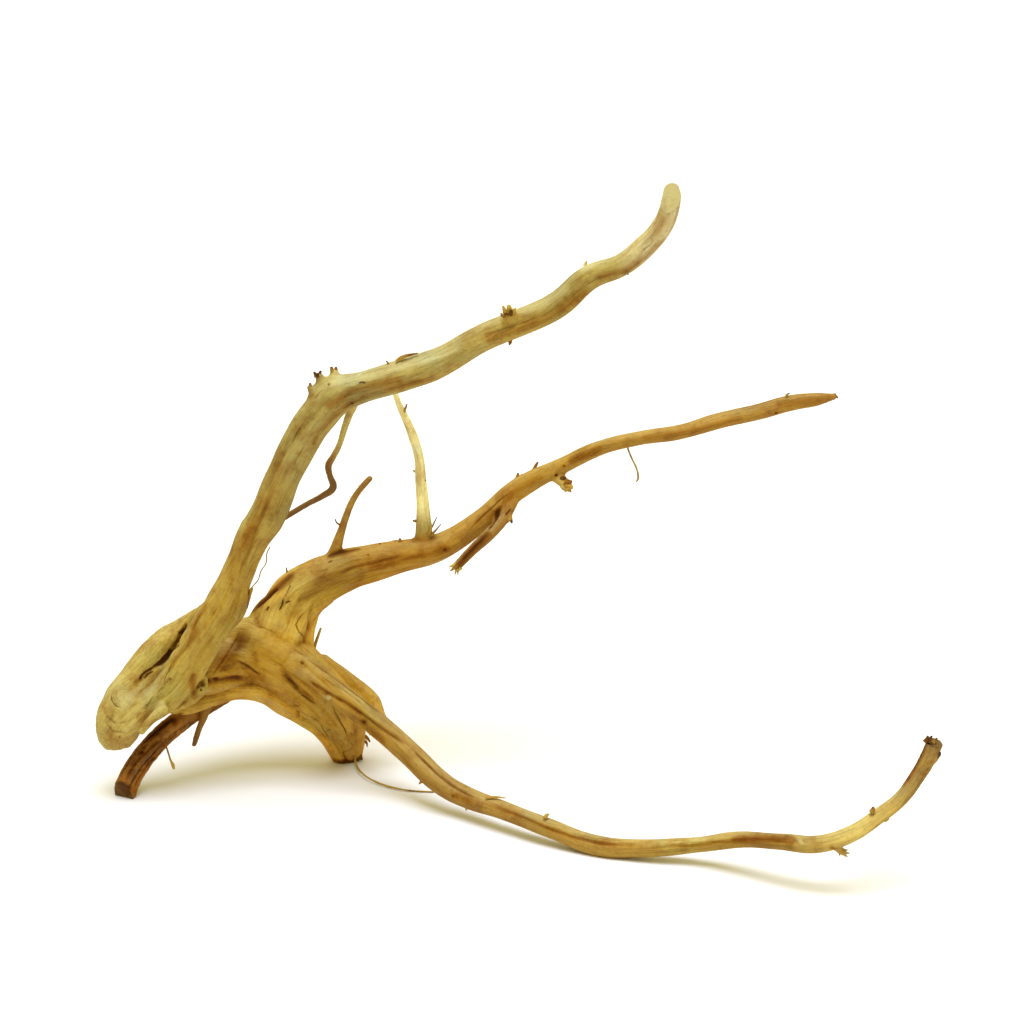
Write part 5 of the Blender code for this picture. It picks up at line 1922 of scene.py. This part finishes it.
STALKS: dict[str, tuple[Stalk, ...]] = {
    "elbow_thorns": (
        Stalk(((311, 390, 20, 1.2), (310, 386, 20, 1.0), (310, 383, 20, 0.6)), (OLIVE, BROWN)),
        Stalk(((316, 377, 21, 1.1), (315, 374, 21, 1.0), (314, 372, 21, 0.6)), (BROWN, DARK)),
        Stalk(((320, 376, 22, 1.0), (320, 373, 22, 0.9), (321, 371, 22, 0.5)), (BROWN, DARK)),
        Stalk(((317, 377, 20, 1.2), (317, 375, 20, 1.0), (318, 374, 19, 0.6)), (BROWN, DARK)),
        Stalk(((332, 371, 23, 1.1), (332, 369, 23, 1.0), (331, 367, 23, 0.6)), (TAN, BROWN)),
        Stalk(((336, 371, 24, 1.1), (336, 369, 24, 1.0), (336, 367, 24, 0.6)), (TAN, BROWN)),
    ),
    "upper_limb_thorns": (
        Stalk(((389, 366, 19, 0.8), (388, 363, 19, 0.5), (386, 361, 19, 0.3)), (OLIVE, BROWN)),
        Stalk(((505, 313, 4, 1.3), (504, 309, 4, 1.0), (503, 306, 4, 0.5)), (TAN, OCHRE)),
        Stalk(((509, 312, 4, 1.4), (509, 307, 3, 1.2), (508, 305, 3, 0.6)), (TAN, OCHRE)),
        Stalk(((513, 313, 5, 1.2), (514, 310, 4, 0.9), (516, 308, 4, 0.4)), (OCHRE, YELLOW)),
        Stalk(((504, 316, 3, 1.1), (502, 315, 2, 0.8), (501, 313, 2, 0.4)), (BROWN, TAN)),
        Stalk(((510, 315, 2, 1.1), (511, 312, 1, 0.9), (511, 310, 1, 0.5)), (BROWN, DARK)),
        Stalk(((510, 339, 10, 1.2), (510, 343, 9, 0.8), (509, 345, 9, 0.3)), (ORANGE, BROWN)),
        Stalk(((585, 266, 6, 1.1), (586, 263, 6, 0.8), (587, 261, 6, 0.3)), (PALE, TAN)),
        Stalk(((629, 270, 2, 1.0), (628, 273, 2, 0.7), (628, 275, 2, 0.3)), (TAN, BROWN)),
        Stalk(
            ((396, 361, 17, 0.8), (402, 357, 17, 0.7), (409, 355, 16, 0.7), (418, 353, 16, 0.3)),
            (TAN, BROWN),
        ),
        Stalk(((400, 360, 17, 0.7), (406, 356, 16, 0.6), (412, 354, 16, 0.3)), (OCHRE, BROWN)),
        Stalk(((252, 588, 24, 0.8), (249, 598, 23, 0.9), (247, 608, 24, 0.5)), (TAN, BROWN)),
    ),
    "branchlet_splinters": (
        Stalk(((403, 414, 68, 0.9), (405, 409, 67, 0.7), (407, 404, 66, 0.35)), (YELLOW, BROWN)),
        Stalk(((428, 535, 80, 0.8), (432, 527, 79, 0.6), (437, 517, 79, 0.25)), (TAN, DARK)),
        Stalk(((429, 535, 79, 0.8), (431, 529, 78, 0.6), (431, 521, 78, 0.25)), (TAN, OCHRE)),
        Stalk(((431, 536, 80, 0.8), (436, 530, 80, 0.5), (441, 524, 80, 0.2)), (TAN, DARK)),
        Stalk(((427, 534, 81, 0.9), (428, 526, 81, 0.5), (427, 519, 81, 0.25)), (OCHRE, TAN)),
        Stalk(((416, 521, 81, 0.9), (414, 521, 80, 0.6), (413, 520, 80, 0.3)), (TAN, DARK)),
        Stalk(((415, 472, 79, 0.7), (413, 470, 79, 0.3)), (YELLOW, BROWN)),
        Stalk(((424, 481, 78, 0.6), (426, 480, 77, 0.3)), (BROWN, BROWN)),
    ),
    "middle_limb_thorns": (
        Stalk(((341, 525, 72, 0.7), (337, 523, 71, 0.5), (335, 519, 71, 0.25)), (ORANGE, DARK)),
        Stalk(((516, 482, 87, 2.0), (518, 477, 87, 1.2), (518, 473, 87, 0.5)), (TAN, BROWN)),
        Stalk(((521, 481, 87, 1.6), (521, 476, 87, 0.8), (522, 474, 87, 0.3)), (TAN, BROWN)),
        Stalk(((532, 474, 88, 1.9), (534, 469, 88, 1.0), (538, 462, 88, 0.5)), (TAN, BROWN)),
        Stalk(((287, 576, 70, 1.2), (287, 572, 70, 0.6), (286, 567, 70, 0.2)), (TAN, BROWN)),
        Stalk(((400, 543, 81, 1.5), (400, 540, 81, 0.9), (400, 538, 81, 0.3)), (TAN, BROWN)),
        Stalk(((380, 546, 79, 1.0), (380, 543, 79, 0.4)), (TAN, BROWN)),
        Stalk(((786, 396, 100, 1.0), (788, 394, 100, 0.5), (790, 393, 100, 0.25)), (TAN, DARK)),
        Stalk(((830, 396, 103, 1.4), (835, 396, 103, 0.9), (838, 398, 103, 0.3)), (TAN, BROWN)),
        Stalk(((833, 395, 103, 1.0), (836, 394, 103, 0.4)), (TAN, BROWN)),
        Stalk(
            ((314, 649, 68, 1.3), (316, 642, 68, 0.9), (319, 633, 68, 0.7), (321, 628, 68, 0.5)),
            (ORANGE, OLIVE),
        ),
    ),
    "stub_frays": (
        Stalk(((565, 483, 84, 1.8), (570, 482, 83, 1.4), (572, 481, 83, 0.6)), (RUST, BROWN)),
        Stalk(((564, 487, 84, 1.8), (569, 490, 83, 1.2), (571, 492, 83, 0.4)), (ORANGE, TAN)),
        Stalk(((562, 485, 84, 1.6), (565, 489, 83, 1.2), (566, 492, 83, 0.5)), (YELLOW, TAN)),
        Stalk(((566, 485, 83, 1.6), (571, 487, 82, 1.2), (572, 489, 82, 0.5)), (ORANGE, OCHRE)),
        Stalk(((559, 479, 85, 1.2), (563, 478, 84, 1.1), (566, 478, 84, 0.5)), (BROWN, DARK)),
        Stalk(((458, 565, 68, 1.2), (453, 569, 67, 0.8), (450, 571, 67, 0.25)), (OCHRE, TAN)),
        Stalk(((460, 566, 68, 1.2), (456, 571, 67, 0.7), (455, 575, 67, 0.2)), (YELLOW, TAN)),
        Stalk(((457, 563, 68, 1.0), (452, 566, 67, 0.7), (449, 567, 67, 0.25)), (OCHRE, OCHRE)),
        Stalk(((461, 568, 67, 1.0), (458, 572, 67, 0.5), (458, 575, 67, 0.2)), (YELLOW, TAN)),
        Stalk(((508, 516, 79, 1.0), (511, 520, 78, 0.9), (512, 523, 78, 0.5)), (RUST, DARK)),
        Stalk(((506, 513, 80, 1.1), (510, 512, 79, 0.9), (513, 510, 79, 0.5)), (TAN, BROWN)),
    ),
    "lower_limb_thorns": (
        Stalk(
            ((837, 849, -89, 0.8), (842, 852, -89, 0.6), (845, 855, -89, 0.5), (845, 858, -89, 0.2)),
            (OCHRE, TAN),
        ),
        Stalk(
            ((838, 848, -90, 0.8), (842, 850, -90, 0.6), (847, 853, -90, 0.5), (850, 853, -90, 0.2)),
            (OCHRE, TAN),
        ),
        Stalk(((836, 850, -89, 0.7), (839, 853, -89, 0.5), (840, 856, -89, 0.2)), (TAN, BROWN)),
        Stalk(((841, 848, -89, 0.7), (845, 850, -89, 0.5), (848, 850, -89, 0.2)), (OCHRE, TAN)),
        Stalk(((840, 850, -88, 0.6), (843, 853, -88, 0.5), (848, 857, -88, 0.2)), (YELLOW, TAN)),
        Stalk(((872, 812, -88, 1.5), (873, 809, -88, 1.2), (873, 807, -88, 0.6)), (TAN, BROWN)),
        Stalk(((884, 820, -84, 1.3), (887, 819, -84, 1.0), (889, 818, -84, 0.5)), (OCHRE, TAN)),
        Stalk(((486, 798, -14, 0.7), (495, 797, -15, 0.6), (506, 798, -17, 0.2)), (TAN, OCHRE)),
        Stalk(((545, 818, -35, 1.2), (547, 815, -35, 0.9), (549, 814, -35, 0.4)), (TAN, OCHRE)),
        Stalk(((422, 779, 12, 1.2), (421, 782, 12, 0.8), (419, 784, 12, 0.3)), (OCHRE, TAN)),
        Stalk(((466, 803, -3, 1.2), (467, 807, -4, 0.9), (466, 810, -4, 0.4)), (OCHRE, TAN)),
        Stalk(((471, 804, -5, 1.0), (475, 808, -6, 0.7), (477, 811, -6, 0.3)), (OCHRE, BROWN)),
        Stalk(((469, 803, -5, 0.9), (472, 806, -7, 0.7), (476, 806, -8, 0.3)), (YELLOW, TAN)),
        Stalk(
            ((455, 793, -3, 0.7), (460, 799, -5, 0.8), (466, 803, -6, 0.7), (472, 805, -7, 0.3)),
            (YELLOW, OCHRE),
        ),
        Stalk(((461, 795, -3, 0.6), (466, 800, -5, 0.7), (471, 802, -6, 0.3)), (OCHRE, YELLOW)),
        Stalk(((925, 742, -75, 1.2), (927, 739, -75, 1.0), (928, 736, -75, 0.5)), (BROWN, DARK)),
        Stalk(((929, 742, -75, 1.1), (930, 739, -75, 0.9), (932, 736, -75, 0.4)), (BROWN, DARK)),
        Stalk(((933, 743, -74, 1.0), (936, 740, -74, 0.8), (937, 738, -74, 0.4)), (OCHRE, BROWN)),
        Stalk(((936, 757, -76, 1.1), (939, 755, -76, 0.9), (940, 752, -76, 0.6)), (BROWN, DARK)),
    ),
    "rootlets": (
        Stalk(
            (
                (165, 742, 36, 0.55), (168, 752, 35, 0.45), (171, 761, 34, 0.5), (173, 765, 34, 0.9),
                (174, 769, 34, 0.6),
            ),
            (RUST, OCHRE),
        ),
        Stalk(
            (
                (627, 446, 93, 0.6), (629, 452, 93, 0.5), (632, 459, 92, 0.5), (636, 467, 92, 0.5),
                (638, 474, 92, 0.55), (638, 479, 92, 0.5), (636, 482, 92, 0.3),
            ),
            (OLIVE, TAN),
        ),
        Stalk(
            (
                (249, 591, 24, 0.35), (253, 586, 25, 0.3), (258, 580, 27, 0.3), (261, 571, 29, 0.3),
                (266, 563, 31, 0.3), (267, 553, 33, 0.28), (270, 547, 34, 0.25),
            ),
            (OLIVE, TAN),
        ),
        Stalk(
            (
                (354, 752, 70, 0.6), (356, 764, 62, 0.5), (363, 774, 50, 0.5), (372, 780, 43, 0.5),
                (384, 785, 37.5, 0.5), (400, 789, 32.5, 0.45), (416, 791, 30.5, 0.45), (434, 792, 29.5, 0.4),
            ),
            (OCHRE, TAN),
        ),
    ),
    "foot_splinters": (
        Stalk(((365, 736, 70, 1.1), (368, 739, 70, 0.8), (370, 742, 70, 0.4)), (ORANGE, BROWN)),
        Stalk(((370, 733, 66, 1.2), (374, 735, 66, 0.9), (378, 739, 66, 0.5)), (RUST, BROWN)),
        Stalk(((365, 741, 72, 0.9), (367, 744, 72, 0.6), (367, 747, 72, 0.3)), (RUST, BROWN)),
        Stalk(((346, 757, 71, 1.6), (347, 760, 70, 1.0), (346, 762, 70, 0.4)), (BROWN, DARK)),
        Stalk(((359, 755, 72, 1.6), (361, 758, 71, 1.0), (362, 760, 71, 0.4)), (RUST, DARK)),
        Stalk(((340, 756, 72, 1.8), (337, 759, 71, 1.1), (335, 760, 71, 0.4)), (BROWN, DARK)),
        Stalk(((352, 756, 71, 1.6), (353, 760, 70, 1.0), (354, 762, 70, 0.4)), (BROWN, DARK)),
    ),
}


def stand_of(name: str, stalks: Sequence[Stalk]) -> bpy.types.Object:
    """One piece with all the stalks that stand on one limb."""
    pieces = [stalk.build(name) for stalk in stalks]
    piece = pieces[0]
    if len(pieces) > 1:
        with bpy.context.temp_override(active_object=piece, selected_editable_objects=pieces):
            bpy.ops.object.join()
    piece.name = name
    piece.data.materials.append(bpy.data.materials[WOOD.name])
    return piece


class Studio:
    """The pale floor and the soft light from above.

    Attributes:
        floor_size: The floor's width in metres.
        floor_colour: Its colour.
        floor_roughness: How dull it is.
        floor_gloss: Its specular level.
        sky_colour: The colour of the light from all round.
        horizon: How strong that light is from the horizon.
        zenith: How strong it is from overhead.
        zenith_height: How high, as a share of straight up, the sky is at its brightest.
        sun_colour: The colour of the light from above.
        sun_strength: How strong that is.
        sun_spread: How wide its source is.
        sun_lean: How far it leans from straight above.
    """

    floor_size: float = 60.0
    floor_colour: Colour = (0.78, 0.77, 0.92)
    floor_roughness: float = 0.9
    floor_gloss: float = 0.1
    sky_colour: Colour = (1.0, 0.92, 0.38)
    horizon: float = 0.42
    zenith: float = 1.0
    zenith_height: float = 0.9
    sun_colour: Colour = (0.87, 0.93, 1.0)
    sun_strength: float = 3.1
    sun_spread: float = math.radians(38)
    sun_lean: Euler = Euler((math.radians(9), math.radians(2), 0))

    def build(self) -> None:
        """Makes the floor, the sky and the light."""
        floor = bmesh.new()
        bmesh.ops.create_grid(floor, x_segments=1, y_segments=1, size=self.floor_size / 2)
        mesh = bpy.data.meshes.new("floor")
        floor.to_mesh(mesh)
        floor.free()
        paint = bpy.data.materials.new("floor")
        paint.use_nodes = True
        shader = paint.node_tree.nodes["Principled BSDF"]
        shader.inputs["Base Color"].default_value = (*self.floor_colour, 1)
        shader.inputs["Roughness"].default_value = self.floor_roughness
        shader.inputs["Specular IOR Level"].default_value = self.floor_gloss
        mesh.materials.append(paint)
        linked("floor", mesh)
        self.hang_sky()
        sun = bpy.data.lights.new("overhead", "SUN")
        sun.energy = self.sun_strength
        sun.angle = self.sun_spread
        sun.color = self.sun_colour
        linked("overhead", sun).rotation_euler = self.sun_lean
        bpy.context.scene.view_settings.view_transform = "Standard"

    def hang_sky(self) -> None:
        """Makes a sky that is bright overhead and dimmer towards the horizon."""
        world = bpy.data.worlds.new("sky")
        world.use_nodes = True
        nodes = Nodes(world.node_tree)
        sky = world.node_tree.nodes["Background"]
        sky.inputs["Color"].default_value = (*self.sky_colour, 1)
        way = nodes.add("SeparateXYZ", {0: nodes.add("TexCoord").outputs["Generated"]})
        glow = nodes.span(way.outputs[2], 0.0, self.zenith_height, self.horizon, self.zenith)
        world.node_tree.links.new(glow, sky.inputs["Strength"])
        bpy.context.scene.world = world


def main() -> None:
    """Builds the driftwood's looks and its studio."""
    logging.basicConfig(level=logging.INFO, format="%(name)s: %(message)s")
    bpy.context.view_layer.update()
    skin = Skin(Grain()).build()
    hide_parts(NODE)
    pieces = [skin, *(stand_of(name, stalks) for name, stalks in STALKS.items())]
    for piece in pieces:
        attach(piece, BODY)
        log.info("%s is in place", piece.name)
    VIEW.place_camera()
    Studio().build()


if __name__ == "__main__":
    main()
